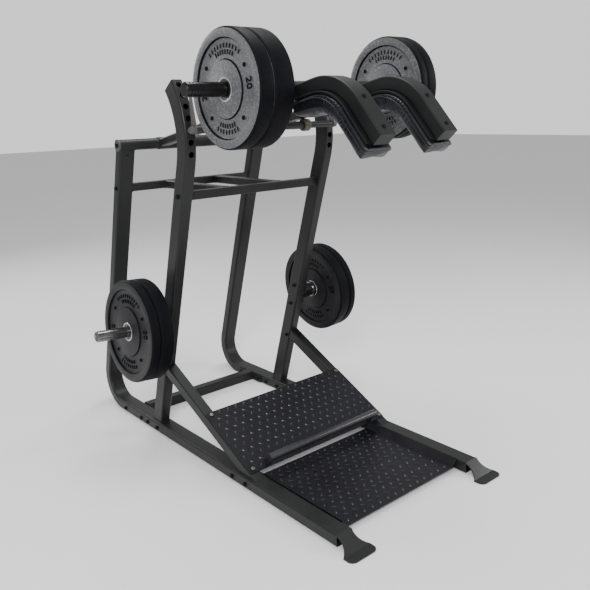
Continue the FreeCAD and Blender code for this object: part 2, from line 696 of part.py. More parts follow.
def arm_cap(s):
    """Plug in the lower end of an arm."""
    drop = V(0, -cos(ARM_DROP), -sin(ARM_DROP))
    across = V(1, 0, 0)
    along = drop.cross(across)
    centre = V(s * ARM_X, ARM_END_Y, ARM_END_Z)
    cover = rounded_rect(TUBE_WIDE, TUBE_THIN, ARM_CORNER_R, centre, across, along)
    cover = cover.extrude(drop * ARM_CAP_THICK)
    bore_w = TUBE_WIDE - 2 * TUBE_WALL - PLUG_GAP
    bore_t = TUBE_THIN - 2 * TUBE_WALL - PLUG_GAP
    plug = rounded_rect(bore_w, bore_t, 2.5, centre, across, along).extrude(drop * -ARM_PLUG_LENGTH)
    return cover.fuse(plug)


def arm_bolts():
    """Two recess-head bolts in the top face of each arm's front leg."""
    drop = V(0, -cos(ARM_DROP), -sin(ARM_DROP))
    out = drop.cross(V(1, 0, 0))
    if out.z < 0:
        out = out * -1
    bolts = []
    for s in SIDES.values():
        end = V(s * ARM_X, ARM_END_Y, ARM_END_Z)
        for reach in ARM_BOLT_REACHES:
            seat = end - drop * reach + out * (TUBE_THIN / 2)
            bolts.append(Part.makeCylinder(ARM_BOLT_R, ARM_BOLT_HIGH, seat, out))
    return compound(bolts)


def stop_pin(s):
    """Locating pin that enters a hole of the front upright."""
    start = V(s * SIDE_X, STOP_Y, STOP_Z) - STOP_OUT * 6
    return Part.makeCylinder(PIN_R, STOP_STANDOFF - 6 + PIN_LENGTH, start, STOP_OUT * -1)


def stop_bar():
    middle = ROLLER_X - ROLLER_WIDTH / 2 - TOUCH_GAP
    bar = rod(-STOP_BAR_HALF, STOP_BAR_HALF, STOP_Y, STOP_Z, STOP_BAR_R)
    thick = rod(-middle, middle, STOP_Y, STOP_Z, STOP_BAR_MIDDLE_R)
    bar = bar.fuse(thick).removeSplitter()
    for s in SIDES.values():
        bar = bar.cut(stop_pin(s))
    return bar


def stop_ear(s):
    """End plate of the stop bar with its locating pin."""
    base = V(s * STOP_BAR_HALF, STOP_Y, STOP_Z)
    up = V(0, sin(STOP_ANGLE), cos(STOP_ANGLE))
    top = base + up * EAR_LENGTH
    rear_low = base - STOP_OUT * EAR_HALF
    rear_top = top - STOP_OUT * EAR_TIP_REAR
    front_top = top + STOP_OUT * EAR_TIP_FRONT
    front_low = base + STOP_OUT * EAR_HALF
    crown = (rear_top + front_top) * 0.5 + up * 6
    outline = [
        Part.LineSegment(rear_low, rear_top).toShape(),
        Part.Arc(rear_top, crown, front_top).toShape(),
        Part.LineSegment(front_top, front_low).toShape(),
        Part.Arc(front_low, base - up * EAR_HALF, rear_low).toShape(),
    ]
    plate = Part.Face(Part.Wire(outline)).extrude(V(s * EAR_THICK, 0, 0))
    pin = stop_pin(s)
    boss = rod(s * (STOP_BAR_HALF + EAR_THICK), s * (SIDE_X + PIN_R), STOP_Y, STOP_Z, STOP_BAR_R)
    return [plate.cut(pin), boss.cut(pin), pin]


def roller(s):
    """Stop roller that turns freely on the stop bar."""
    bore = STOP_BAR_R + RUNNING_CLEARANCE
    x = s * ROLLER_X
    half = ROLLER_WIDTH / 2
    body = ring(x - half, x + half, STOP_Y, STOP_Z, ROLLER_R, bore)
    rims = [e for e in body.Edges if e.Length > 6 * ROLLER_R]
    rims = [e for e in rims if abs(abs(e.CenterOfMass.x - x) - half) < 1e-3]
    return body.makeFillet(3.0, rims)


def weight_plate(s, x_in, thick, radius, y, z):
    """Rubber-coated disc: raised rim, recessed face, raised hub and a centre bore."""
    a = s * x_in
    b = s * (x_in + thick)
    disc = rod(a, b, y, z, radius)
    rims = [e for e in disc.Edges if e.Length > 6 * radius]
    disc = disc.makeFillet(PLATE_EDGE_R, rims)
    for face_x, inward in ((a, s), (b, -s)):
        floor_x = face_x + inward * PLATE_RECESS
        disc = disc.cut(ring(face_x, floor_x, y, z, radius * RIM_SHARE, radius * HUB_SHARE))
    return disc.cut(rod(a, b, y, z, HORN_R + HORN_BORE_GAP))


def top_plates(side, s):
    """Inner and outer plate on one load horn."""
    inner_thick = TOP_INNER_THICK[side]
    outer_x = TOP_STACK_X + inner_thick + PLATE_GAP
    inner = weight_plate(s, TOP_STACK_X, inner_thick, TOP_PLATE_R, HORN_Y, HORN_Z)
    outer = weight_plate(s, outer_x, TOP_OUTER_THICK[side], TOP_PLATE_R, HORN_Y, HORN_Z)
    return inner, outer


def stored_plates(s):
    """Inner and outer plate on one storage horn."""
    outer_x = STORE_STACK_X + STORE_INNER_THICK + PLATE_GAP
    inner = weight_plate(s, STORE_STACK_X, STORE_INNER_THICK, STORE_PLATE_R, STORE_Y, STORE_Z)
    outer = weight_plate(s, outer_x, STORE_OUTER_THICK, STORE_PLATE_R, STORE_Y, STORE_Z)
    return tilt_store(inner, s), tilt_store(outer, s)


def through_bolts(points, direction_sign, span):
    """Bolts along X: a domed head on the outer side and a nut on the inner side."""
    bolts = []
    for x, y, z in points:
        outward = V(direction_sign, 0, 0)
        seat = V(x, y, z)
        head = bolt_head(seat, outward)
        nut = Part.makeCylinder(HEAD_R - 1, HEAD_HEIGHT, seat - outward * (span + HEAD_HEIGHT), outward)
        shank = Part.makeCylinder(BOLT_R - 1, span, seat - outward * span, outward)
        bolts.append(head.fuse([nut, shank]).removeSplitter())
    return bolts


def rail_bolts():
    bolts = []
    for s in SIDES.values():
        outer = s * (SIDE_X + TUBE_WIDE / 2)
        points = [(outer, y, RAIL_BOLT_Z) for y in REAR_BOLTS + FRONT_BOLTS]
        bolts += through_bolts(points, s, TUBE_WIDE)
        flange = [(outer, CROSS_TUBE_Y + k * CROSS_BOLT_REACH, RAIL_BOLT_Z) for k in (-1, 1)]
        bolts += through_bolts(flange, s, TUBE_WIDE + CROSS_FLANGE_THICK)
    return compound(bolts)


def upright_bolts():
    bolts = []
    along = V(0, -sin(LEAN), cos(LEAN))
    for s in SIDES.values():
        front_x = s * FRONT_FACE_X
        rear_x = s * HOUSING_END_X
        front_mid = (front_x, line_y(FRONT_LINE_Y, MID_Z), MID_Z)
        rear_mid = (rear_x, line_y(REAR_LINE_Y, MID_Z), MID_Z)
        brace = (front_x, line_y(FRONT_LINE_Y, BRACE_BOLT_Z) - 15, BRACE_BOLT_Z)
        bolts += through_bolts([front_mid], s, TUBE_THIN + MID_END_PLUG)
        bolts += through_bolts([rear_mid], s, TUBE_WIDE + MID_END_PLUG)
        bolts += through_bolts([brace], s, TUBE_THIN)
        for reach in (-HORN_BOLT_REACH, HORN_BOLT_REACH):
            seat = V(front_x + s * HORN_FLANGE_THICK, STORE_Y, STORE_Z) + along * reach
            bolts += through_bolts([(seat.x, seat.y, seat.z)], s, TUBE_THIN + HORN_FLANGE_THICK)
    return compound(bolts)


def build():
    os.makedirs("parts", exist_ok=True)
    rails = rail_bolts()
    uprights = upright_bolts()
    export(rails, "rail_bolts")
    export(uprights, "upright_bolts")
    for side, s in SIDES.items():
        x = s * SIDE_X
        export(rear_upright(x).cut(rails).cut(uprights), "rear_upright_" + side)
        middle = straight_rail(x, SEAM_FRONT_Y + SEAM_GAP / 2, SEAM_REAR_Y - SEAM_GAP / 2)
        export(middle.cut(rails), "middle_rail_" + side)
        front = straight_rail(x, RAIL_END_Y, SEAM_FRONT_Y - SEAM_GAP / 2)
        export(front, "front_rail_" + side)
        export(toe_plate(x).cut(front), "toe_plate_" + side)
        export(front_upright(x).cut(uprights), "front_upright_" + side)
        export(diagonal_brace(x), "diagonal_brace_" + side)
        export(mid_long(s * MID_LONG_X), "mid_long_tube_" + side)
        export(storage_horn(s).cut(uprights), "storage_horn_" + side)
        export(pivot_housing(s), "pivot_housing_" + side)
        export(lever_tube(s), "lever_tube_" + side)
        export(shoulder_arm(s), "shoulder_arm_" + side)
        export(pad_board(s), "pad_board_" + side)
        export(shoulder_pad(s), "shoulder_pad_" + side)
        export(load_horn(s), "load_horn_" + side)
        export(roller(s), "stop_roller_" + side)
        inner, outer = top_plates(side, s)
        export(inner, "top_inner_plate_" + side)
        export(outer, "top_outer_plate_" + side)
        inner, outer = stored_plates(s)
        export(inner, "stored_inner_plate_" + side)
        export(outer, "stored_outer_plate_" + side)
    seams = (SEAM_REAR_Y, SEAM_FRONT_Y)
    inserts = [rail_insert(s * SIDE_X, seam) for s in SIDES.values() for seam in seams]
    export(compound(inserts).cut(rails), "rail_inserts")
    export(compound([upright_cap(s * SIDE_X) for s in SIDES.values()]), "upright_caps")
    export(rear_cross_tube().cut(rails), "rear_cross_tube")
    front_span = SIDE_X - TUBE_THIN / 2
    rear_span = SIDE_X - TUBE_WIDE / 2
    front_mid = mid_cross(line_y(FRONT_LINE_Y, MID_Z), front_span)
    export(front_mid.cut(uprights), "mid_front_tube")
    rear_mid = mid_cross(line_y(REAR_LINE_Y, MID_Z), rear_span)
    export(rear_mid.cut(uprights), "mid_rear_tube")
    export(upper_tread(), "upper_tread_plate")
    export(lower_tread(), "lower_tread_plate")
    export(calf_bar(), "calf_bar")
    export(compound(tread_screws()), "tread_screws")
    export(pivot_shaft(), "pivot_shaft")
    export(compound([pivot_end_cap(s) for s in SIDES.values()]), "pivot_end_caps")
    export(compound([pivot_end_bolt(s) for s in SIDES.values()]), "pivot_end_bolts")
    export(lever_sleeve(), "lever_sleeve")
    export(pivot_bushes(), "pivot_bushes")
    export(crossbar(), "lever_crossbar")
    export(compound([arm_cap(s) for s in SIDES.values()]), "arm_caps")
    export(arm_bolts(), "arm_bolts")
    export(stop_bar(), "stop_bar")
    ears = [solid for s in SIDES.values() for solid in stop_ear(s)]
    export(compound(ears), "stop_bar_ears")


build()
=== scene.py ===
from math import atan2, cos, hypot, pi, radians, sin, tan

import bmesh
import bpy
from mathutils import Matrix, Vector


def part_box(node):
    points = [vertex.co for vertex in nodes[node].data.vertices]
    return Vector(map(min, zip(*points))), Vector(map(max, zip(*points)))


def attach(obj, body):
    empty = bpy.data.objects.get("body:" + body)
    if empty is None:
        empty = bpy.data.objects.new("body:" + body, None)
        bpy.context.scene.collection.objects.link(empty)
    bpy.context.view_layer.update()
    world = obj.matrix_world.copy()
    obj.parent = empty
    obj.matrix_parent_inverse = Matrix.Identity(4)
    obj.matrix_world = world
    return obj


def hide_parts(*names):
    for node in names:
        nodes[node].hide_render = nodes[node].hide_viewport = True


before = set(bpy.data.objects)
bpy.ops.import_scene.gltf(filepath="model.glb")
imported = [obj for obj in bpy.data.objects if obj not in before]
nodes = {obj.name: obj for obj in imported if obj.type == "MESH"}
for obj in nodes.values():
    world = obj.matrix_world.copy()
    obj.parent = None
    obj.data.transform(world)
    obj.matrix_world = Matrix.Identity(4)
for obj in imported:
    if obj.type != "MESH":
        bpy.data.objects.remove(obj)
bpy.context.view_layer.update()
SIDES = {"left": -1, "right": 1}

# ---------------------------------------------------------------- studio
# The machine stands on a plain pale floor in a bright studio. A broad soft light hangs in front on
# the user's left, a second one fills from the right, and long lights above draw lines on the tubes.
FLOOR_WHITE = (0.86, 0.86, 0.86, 1)
ROOM_WHITE = (1.0, 1.0, 1.0, 1)
ROOM_LIGHT = 0.62
BACKDROP_LIGHT = 1.1
CAMERA_PLACE = (-1.89833, -2.42768, 1.52162)
CAMERA_RIGHT = (0.7604, -0.6488, -0.0283)
CAMERA_UP = (0.1890, 0.1793, 0.9655)
CAMERA_LENS = 42.08

bpy.ops.object.select_all(action="DESELECT")
bpy.ops.mesh.primitive_grid_add(x_subdivisions=8, y_subdivisions=8, size=60, location=(0, 0, -0.0005))
floor = bpy.context.object
floor.name = "studio_floor"
floor_paint = bpy.data.materials.new("studio_floor_white")
floor_paint.use_nodes = True
floor_paint.node_tree.nodes["Principled BSDF"].inputs["Base Color"].default_value = FLOOR_WHITE
floor_paint.node_tree.nodes["Principled BSDF"].inputs["Roughness"].default_value = 0.9
floor.data.materials.append(floor_paint)

world = bpy.data.worlds.new("studio_room")
bpy.context.scene.world = world
world.use_nodes = True
world.node_tree.nodes["Background"].inputs["Color"].default_value = ROOM_WHITE
backdrop = world.node_tree.nodes["Background"]
seen = world.node_tree.nodes.new("ShaderNodeLightPath")
level = world.node_tree.nodes.new("ShaderNodeMapRange")
level.inputs["To Min"].default_value = ROOM_LIGHT
level.inputs["To Max"].default_value = BACKDROP_LIGHT
world.node_tree.links.new(seen.outputs["Is Camera Ray"], level.inputs["Value"])
world.node_tree.links.new(level.outputs["Result"], backdrop.inputs["Strength"])

for name, place, aim, width, height, power in (
    ("key", (-3.4, -3.6, 3.4), (0, 0, 0.9), 1.3, 1.3, 230),
    ("fill", (4.2, -2.6, 2.6), (0, 0, 0.8), 2.0, 1.4, 90),
    ("overhead", (0.3, 0.2, 4.2), (0, 0, 0.6), 1.0, 2.6, 90),
    ("rear", (-0.6, 4.6, 3.0), (0, 0, 0.9), 3.0, 1.6, 80),
):
    bpy.ops.object.light_add(type="AREA", location=place)
    lamp = bpy.context.object
    lamp.name = "studio_" + name
    lamp.data.shape = "RECTANGLE"
    lamp.data.size = width
    lamp.data.size_y = height
    lamp.data.energy = power
    lamp.rotation_euler = (Vector(aim) - Vector(place)).to_track_quat("-Z", "Y").to_euler()

bpy.ops.object.camera_add()
camera = bpy.context.object
right = Vector(CAMERA_RIGHT).normalized()
up = (Vector(CAMERA_UP) - right * right.dot(Vector(CAMERA_UP))).normalized()
turn = Matrix((right, up, right.cross(up))).transposed().to_4x4()
camera.matrix_world = Matrix.Translation(CAMERA_PLACE) @ turn
camera.data.lens = CAMERA_LENS
camera.data.sensor_width = 36
bpy.context.scene.camera = camera

# ---------------------------------------------------------------- frame tubes
# Rectangular and square steel tube, bent, drilled and welded, then powder coated in satin
# charcoal. The coat has a faint orange-peel skin and pools slightly darker and duller in patches.
COAT_GREY = (0.0115, 0.0118, 0.0122, 1)
COAT_PALE = (0.0155, 0.0158, 0.0162, 1)
FRAME_NODES = ["rear_cross_tube", "mid_front_tube", "mid_rear_tube"]
for side in SIDES:
    FRAME_NODES += [part + "_" + side for part in (
        "rear_upright", "middle_rail", "front_rail", "toe_plate", "front_upright",
        "diagonal_brace", "mid_long_tube", "pivot_housing")]
LEVER_NODES = ["lever_sleeve", "lever_crossbar", "lever_tube_left", "lever_tube_right"]


def add_socket(group, label, direction, kind, value=None):
    socket = group.interface.new_socket(name=label, in_out=direction, socket_type=kind)
    if value is not None:
        socket.default_value = value


def coat_texture_group():
    """Orange-peel skin and patchy tone of a sprayed or powdered coat."""
    group = bpy.data.node_groups.new("coat_skin", "ShaderNodeTree")
    add_socket(group, "Base", "INPUT", "NodeSocketColor", (0.05, 0.05, 0.05, 1))
    add_socket(group, "Pale", "INPUT", "NodeSocketColor", (0.07, 0.07, 0.07, 1))
    add_socket(group, "Roughness", "INPUT", "NodeSocketFloat", 0.4)
    add_socket(group, "Peel", "INPUT", "NodeSocketFloat", 0.2)
    add_socket(group, "Grain Scale", "INPUT", "NodeSocketFloat", 700.0)
    add_socket(group, "Color", "OUTPUT", "NodeSocketColor")
    add_socket(group, "Roughness", "OUTPUT", "NodeSocketFloat")
    add_socket(group, "Height", "OUTPUT", "NodeSocketFloat")
    add = group.nodes.new
    link = group.links.new
    given = add("NodeGroupInput")
    given_out = add("NodeGroupOutput")
    place = add("ShaderNodeTexCoord")
    patches = add("ShaderNodeTexNoise")
    patches.inputs["Scale"].default_value = 5.0
    patches.inputs["Detail"].default_value = 5.0
    link(place.outputs["Object"], patches.inputs["Vector"])
    grain = add("ShaderNodeTexNoise")
    grain.inputs["Detail"].default_value = 2.0
    link(place.outputs["Object"], grain.inputs["Vector"])
    link(given.outputs["Grain Scale"], grain.inputs["Scale"])
    spread = add("ShaderNodeMapRange")
    spread.inputs["From Min"].default_value = 0.35
    spread.inputs["From Max"].default_value = 0.65
    link(patches.outputs["Fac"], spread.inputs["Value"])
    tone = add("ShaderNodeMix")
    tone.data_type = "RGBA"
    link(spread.outputs["Result"], tone.inputs["Factor"])
    link(given.outputs["Base"], tone.inputs["A"])
    link(given.outputs["Pale"], tone.inputs["B"])
    link(tone.outputs["Result"], given_out.inputs["Color"])
    dull = add("ShaderNodeMath")
    dull.operation = "MULTIPLY_ADD"
    dull.inputs[1].default_value = 0.12
    link(spread.outputs["Result"], dull.inputs[0])
    link(given.outputs["Roughness"], dull.inputs[2])
    link(dull.outputs["Value"], given_out.inputs["Roughness"])
    peel = add("ShaderNodeMath")
    peel.operation = "MULTIPLY"
    link(grain.outputs["Fac"], peel.inputs[0])
    link(given.outputs["Peel"], peel.inputs[1])
    link(peel.outputs["Value"], given_out.inputs["Height"])
    return group


COAT_SKIN = coat_texture_group()


def coated_material(name, base, pale, roughness, peel, scale, coat=0.0, specular=0.22):
    """Principled paint that takes its colour, roughness and skin from the coat group."""
    paint = bpy.data.materials.new(name)
    paint.use_nodes = True
    tree = paint.node_tree
    shader = tree.nodes["Principled BSDF"]
    skin = tree.nodes.new("ShaderNodeGroup")
    skin.node_tree = COAT_SKIN
    skin.inputs["Base"].default_value = base
    skin.inputs["Pale"].default_value = pale
    skin.inputs["Roughness"].default_value = roughness
    skin.inputs["Peel"].default_value = peel
    skin.inputs["Grain Scale"].default_value = scale
    bump = tree.nodes.new("ShaderNodeBump")
    bump.inputs["Strength"].default_value = 0.35
    bump.inputs["Distance"].default_value = 0.0006
    tree.links.new(skin.outputs["Color"], shader.inputs["Base Color"])
    tree.links.new(skin.outputs["Roughness"], shader.inputs["Roughness"])
    tree.links.new(skin.outputs["Height"], bump.inputs["Height"])
    tree.links.new(bump.outputs["Normal"], shader.inputs["Normal"])
    shader.inputs["Coat Weight"].default_value = coat
    shader.inputs["Coat Roughness"].default_value = 0.25
    shader.inputs["Specular IOR Level"].default_value = specular
    return paint


def paint_node(node, *paints):
    """Give a carried-over piece its finish."""
    slots = nodes[node].data.materials
    slots.clear()
    for paint in paints:
        slots.append(paint)


frame_coat = coated_material("charcoal_powder_coat", COAT_GREY, COAT_PALE, 0.33, 0.5, 650.0, specular=0.26)
for node in FRAME_NODES + LEVER_NODES:
    paint_node(node, frame_coat)

# ---------------------------------------------------------------- weld beads
# A run of weld goes round every tube end, ground a little and coated with the frame. Each bead is a
# closed loop on the joint line, swept with a small round section and rippled.
SIDE_X = 0.381
LEAN = radians(17.3)
UPRIGHT_SLOPE = tan(LEAN)
FRONT_LINE_Y = 0.209
REAR_LINE_Y = 0.7465
LINE_Z = 0.8
MID_Z = 1.186
BEAD_R = 0.0026
TUBE_BEAD = 0.0262
RAIL_BEAD_Z = 0.0515
MID_BEAD = 0.0192
MID_LONG_X = 0.148
MID_LONG_BEAD_A = 0.0190
MID_LONG_BEAD_B = 0.0188
MID_FACE = 0.0195


def leaning_y(line_y, z):
    return line_y - (z - LINE_Z) * UPRIGHT_SLOPE


def make_active(piece):
    bpy.ops.object.select_all(action="DESELECT")
    piece.select_set(True)
    bpy.context.view_layer.objects.active = piece


def weld_bead(name, centre, half_a, half_b, body, radius=BEAD_R, corner=0.008):
    """Rounded rectangular bead; half_a and half_b are its half sides as vectors."""
    bpy.ops.object.select_all(action="DESELECT")
    bpy.ops.mesh.primitive_plane_add(size=2)
    bead = bpy.context.object
    bead.name = name
    a = Vector(half_a)
    b = Vector(half_b)
    turn_to = Matrix((a.normalized(), b.normalized(), a.cross(b).normalized())).transposed().to_4x4()
    bead.matrix_world = Matrix.Translation(centre) @ turn_to @ Matrix.Diagonal((a.length, b.length, 1, 1))
    bpy.ops.object.transform_apply(location=True, rotation=True, scale=True)
    bpy.ops.object.mode_set(mode="EDIT")
    bpy.ops.mesh.select_all(action="SELECT")
    bpy.ops.mesh.bevel(offset=corner, segments=4, affect="VERTICES")
    bpy.ops.mesh.select_all(action="SELECT")
    bpy.ops.mesh.delete(type="ONLY_FACE")
    bpy.ops.mesh.select_all(action="SELECT")
    bpy.ops.mesh.subdivide(number_cuts=5)
    bpy.ops.object.mode_set(mode="OBJECT")
    bpy.ops.object.convert(target="CURVE")
    bead.data.bevel_depth = radius
    bead.data.bevel_resolution = 2
    bpy.ops.object.convert(target="MESH")
    bead = bpy.context.object
    ripple = bead.modifiers.new("ripple", "DISPLACE")
    ripple.texture = bead_ripple
    ripple.strength = 0.0012
    ripple.mid_level = 0.5
    bpy.ops.object.modifier_apply(modifier=ripple.name)
    bpy.ops.object.shade_smooth()
    bead.data.materials.append(frame_coat)
    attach(bead, body)
    return bead


bead_ripple = bpy.data.textures.new("bead_ripple", "CLOUDS")
bead_ripple.noise_scale = 0.006
foot_y = leaning_y(FRONT_LINE_Y, 0.051)
along_upright = Vector((0, -sin(LEAN), cos(LEAN)))
for side, s in SIDES.items():
    x = s * SIDE_X
    weld_bead("weld_upright_foot_" + side, (x, foot_y, RAIL_BEAD_Z), (TUBE_BEAD, 0, 0),
              (0, 0.0405, 0), "frame")
    weld_bead("weld_brace_foot_" + side, (x, -0.3029, RAIL_BEAD_Z), (TUBE_BEAD, 0, 0),
              (0, 0.0588, 0), "frame")
    weld_bead("weld_brace_top_" + side, (x, 0.3143, 0.3534), (TUBE_BEAD, 0, 0),
              along_upright * 0.0265, "frame")
    weld_bead("weld_cross_tube_" + side, (s * 0.3365, 0.670, 0.0255), (0, 0.0260, 0), (0, 0, 0.0225), "frame")
    mid_front_y = leaning_y(FRONT_LINE_Y, MID_Z)
    mid_rear_y = leaning_y(REAR_LINE_Y, MID_Z)
    weld_bead("weld_mid_front_" + side, (s * 0.3550, mid_front_y, MID_Z), (0, MID_BEAD, 0), (0, 0, MID_BEAD),
              "frame", corner=0.005)
    weld_bead("weld_mid_rear_" + side, (s * 0.3425, mid_rear_y, MID_Z), (0, MID_BEAD, 0), (0, 0, MID_BEAD),
              "frame", corner=0.005)
    weld_bead("weld_mid_long_front_" + side, (s * MID_LONG_X, mid_front_y + MID_FACE, MID_Z),
              (MID_LONG_BEAD_A, 0, 0), (0, 0, MID_LONG_BEAD_B), "frame", radius=0.002, corner=0.005)
    weld_bead("weld_mid_long_rear_" + side, (s * MID_LONG_X, mid_rear_y - MID_FACE, MID_Z),
              (MID_LONG_BEAD_A, 0, 0), (0, 0, MID_LONG_BEAD_B), "frame", radius=0.002, corner=0.005)
    weld_bead("weld_toe_" + side, (x, -0.856, 0.0265), (0.0362, 0, 0), (0, 0, 0.0225), "frame", radius=0.0018)
    housing_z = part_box("pivot_housing_" + side)[0][2] + 0.002
    weld_bead("weld_pivot_housing_" + side, (x, leaning_y(REAR_LINE_Y, housing_z), housing_z),
              (0.0385, 0, 0), (0, TUBE_BEAD, 0), "frame")

# ---------------------------------------------------------------- rubber and plastic frame fittings
# Moulded plugs with softened edges close the upright tops. Grey discs with one bolt close the pivot
# housings. Black oxide domed bolts hold the rails and uprights.
black_plastic_and_seam_shade = coated_material("moulded_black_plastic_and_seam_shade", (0.008, 0.008, 0.009, 1), (0.012, 0.012, 0.013, 1),
                               0.45, 0.8, 1400.0)
cap_grey = coated_material(
    "satin_grey_disc",
    (0.060, 0.060, 0.063, 1),
    (0.085, 0.085, 0.088, 1),
    0.38, 0.3, 900.0,
)
bolt_oxide = coated_material(
    "black_oxide",
    (0.004, 0.004, 0.0045, 1),
    (0.006, 0.006, 0.006, 1),
    0.40, 0.6, 1800.0, specular=0.08,
)
# The rail inserts take the near-black plastic so the seam gaps between the rail pieces show dark: painted
# shade.
paint_node("rail_inserts", black_plastic_and_seam_shade)
paint_node("pivot_end_caps", cap_grey)
for node in ("rail_bolts", "upright_bolts", "pivot_end_bolts", "arm_bolts"):
    paint_node(node, bolt_oxide)


cap_cover = nodes["upright_caps"].copy()
cap_cover.data = nodes["upright_caps"].data.copy()
cap_cover.name = "upright_cap_domes"
cap_cover.parent = None
for key in list(cap_cover.keys()):
    del cap_cover[key]
bpy.context.scene.collection.objects.link(cap_cover)
make_active(cap_cover)
bpy.ops.object.mode_set(mode="EDIT")
bpy.ops.mesh.select_all(action="SELECT")
bpy.ops.mesh.remove_doubles(threshold=0.00002)
bpy.ops.mesh.dissolve_limited(angle_limit=radians(2))
bpy.ops.object.mode_set(mode="OBJECT")
soft = cap_cover.modifiers.new("soft", "BEVEL")
soft.limit_method = "ANGLE"
soft.angle_limit = radians(50)
soft.width = 0.0030
soft.segments = 3
bpy.ops.object.modifier_apply(modifier=soft.name)
bpy.ops.object.shade_smooth_by_angle(angle=radians(35))
cap_cover.data.materials.clear()
cap_cover.data.materials.append(black_plastic_and_seam_shade)
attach(cap_cover, "frame")
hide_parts("upright_caps")


def metal_material(name, base, pale, roughness, peel, scale):
    """Bare or plated metal with a fine grain in its roughness and skin."""
    metal = coated_material(name, base, pale, roughness, peel, scale)
    metal.node_tree.nodes["Principled BSDF"].inputs["Metallic"].default_value = 1.0
    return metal


zinc = metal_material("zinc_plate", (0.13, 0.13, 0.14, 1), (0.22, 0.22, 0.23, 1), 0.28, 0.4, 900.0)
ground_steel = metal_material(
    "ground_steel",
    (0.42, 0.42, 0.42, 1),
    (0.52, 0.52, 0.52, 1),
    0.28, 0.3, 1500.0,
)
bronze = metal_material("sintered_bronze", (0.42, 0.27, 0.11, 1), (0.52, 0.35, 0.16, 1), 0.42, 0.8, 2200.0)
paint_node("tread_screws", zinc)
paint_node("pivot_shaft", ground_steel)
paint_node("pivot_bushes", bronze)

# ---------------------------------------------------------------- tread plates
# The tilted plate and the lower pan are steel rolled with raised lozenges, black coated with a
# fine sparkle. One lozenge is shaped from a short eight-sided drum and repeated in two crossed sets.
LOZENGE_LONG = 0.0125
LOZENGE_WIDE = 0.0052
LOZENGE_HIGH = 0.0030
PITCH_ACROSS = 0.0447
PITCH_DOWN = 0.0660
TREAD_SLOPE = radians(26.1)
TREAD_TOP = Vector((0, -0.0045, 0.233))
tread_down = Vector((0, -cos(TREAD_SLOPE), -sin(TREAD_SLOPE)))
tread_up = Vector((0, -sin(TREAD_SLOPE), cos(TREAD_SLOPE)))


def sparkle_material(name, base, fleck, roughness, fleck_scale, fleck_share, bump_height, specular):
    """Dark coating or rubber with tiny pale flecks and a pebbled skin."""
    paint = bpy.data.materials.new(name)
    paint.use_nodes = True
    tree = paint.node_tree
    add = tree.nodes.new
    link = tree.links.new
    shader = tree.nodes["Principled BSDF"]
    place = add("ShaderNodeTexCoord")
    flecks = add("ShaderNodeTexNoise")
    flecks.inputs["Scale"].default_value = fleck_scale
    flecks.inputs["Detail"].default_value = 1.0
    link(place.outputs["Object"], flecks.inputs["Vector"])
    pick = add("ShaderNodeMapRange")
    pick.inputs["From Min"].default_value = fleck_share
    pick.inputs["From Max"].default_value = fleck_share + 0.12
    link(flecks.outputs["Fac"], pick.inputs["Value"])
    skin = add("ShaderNodeGroup")
    skin.node_tree = COAT_SKIN
    skin.inputs["Base"].default_value = base
    skin.inputs["Pale"].default_value = tuple(1.35 * c for c in base[:3]) + (1,)
    skin.inputs["Roughness"].default_value = roughness
    skin.inputs["Peel"].default_value = 1.0
    skin.inputs["Grain Scale"].default_value = 900.0
    blend = add("ShaderNodeMix")
    blend.data_type = "RGBA"
    blend.inputs["B"].default_value = fleck
    link(pick.outputs["Result"], blend.inputs["Factor"])
    link(skin.outputs["Color"], blend.inputs["A"])
    link(blend.outputs["Result"], shader.inputs["Base Color"])
    link(skin.outputs["Roughness"], shader.inputs["Roughness"])
    bump = add("ShaderNodeBump")
    bump.inputs["Strength"].default_value = 0.5
    bump.inputs["Distance"].default_value = bump_height
    link(skin.outputs["Height"], bump.inputs["Height"])
    link(bump.outputs["Normal"], shader.inputs["Normal"])
    shader.inputs["Specular IOR Level"].default_value = specular
    return paint


tread_black = sparkle_material("sparkle_black_tread", (0.0036, 0.0034, 0.0060, 1), (0.022, 0.022, 0.028, 1),
                               0.36, 420.0, 0.60, 0.0006, 0.24)
# The lozenges are coloured paler and glossier than the plate.
lozenge_paint = coated_material(
    "pale_glossy_lozenges",
    (0.008, 0.008, 0.012, 1),
    (0.020, 0.020, 0.026, 1),
    0.26, 0.4, 900.0, specular=0.45,
)
paint_node("upper_tread_plate", tread_black)
paint_node("lower_tread_plate", tread_black)


def lozenge_field(name, first, down, normal, columns, rows, angle):
    """Raised lozenges on a plate: one is shaped, then arrayed across and down the plate."""
    bpy.ops.object.select_all(action="DESELECT")
    bpy.ops.mesh.primitive_cylinder_add(vertices=8, radius=1, depth=1)
    field = bpy.context.object
    field.name = name
    bpy.ops.object.mode_set(mode="EDIT")
    bpy.ops.mesh.select_mode(type="FACE")
    bpy.ops.mesh.select_all(action="DESELECT")
    shape = bmesh.from_edit_mesh(field.data)
    for face in shape.faces:
        face.select_set(face.normal.z > 0.9)
    bmesh.update_edit_mesh(field.data)
    bpy.ops.transform.resize(value=(0.62, 0.35, 1))
    bpy.ops.object.mode_set(mode="OBJECT")
    across = Vector((1, 0, 0))
    long_way = across * cos(angle) + down * sin(angle)
    wide_way = normal.cross(long_way)
    turn_to = Matrix((long_way, wide_way, normal)).transposed().to_4x4()
    size = Matrix.Diagonal((LOZENGE_LONG, LOZENGE_WIDE, LOZENGE_HIGH, 1))
    field.matrix_world = Matrix.Translation(first + normal * LOZENGE_HIGH * 0.4) @ turn_to @ size
    bpy.ops.object.transform_apply(location=True, rotation=True, scale=True)
    for label, step, count in (("across", across * PITCH_ACROSS, columns), ("down", down * PITCH_DOWN, rows)):
        repeat = field.modifiers.new(label, "ARRAY")
        repeat.use_relative_offset = False
        repeat.use_constant_offset = True
        repeat.constant_offset_displace = step
        repeat.count = count
        bpy.ops.object.modifier_apply(modifier=repeat.name)
    bpy.ops.object.shade_smooth_by_angle(angle=radians(25))
    field.data.materials.append(lozenge_paint)
    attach(field, "frame")


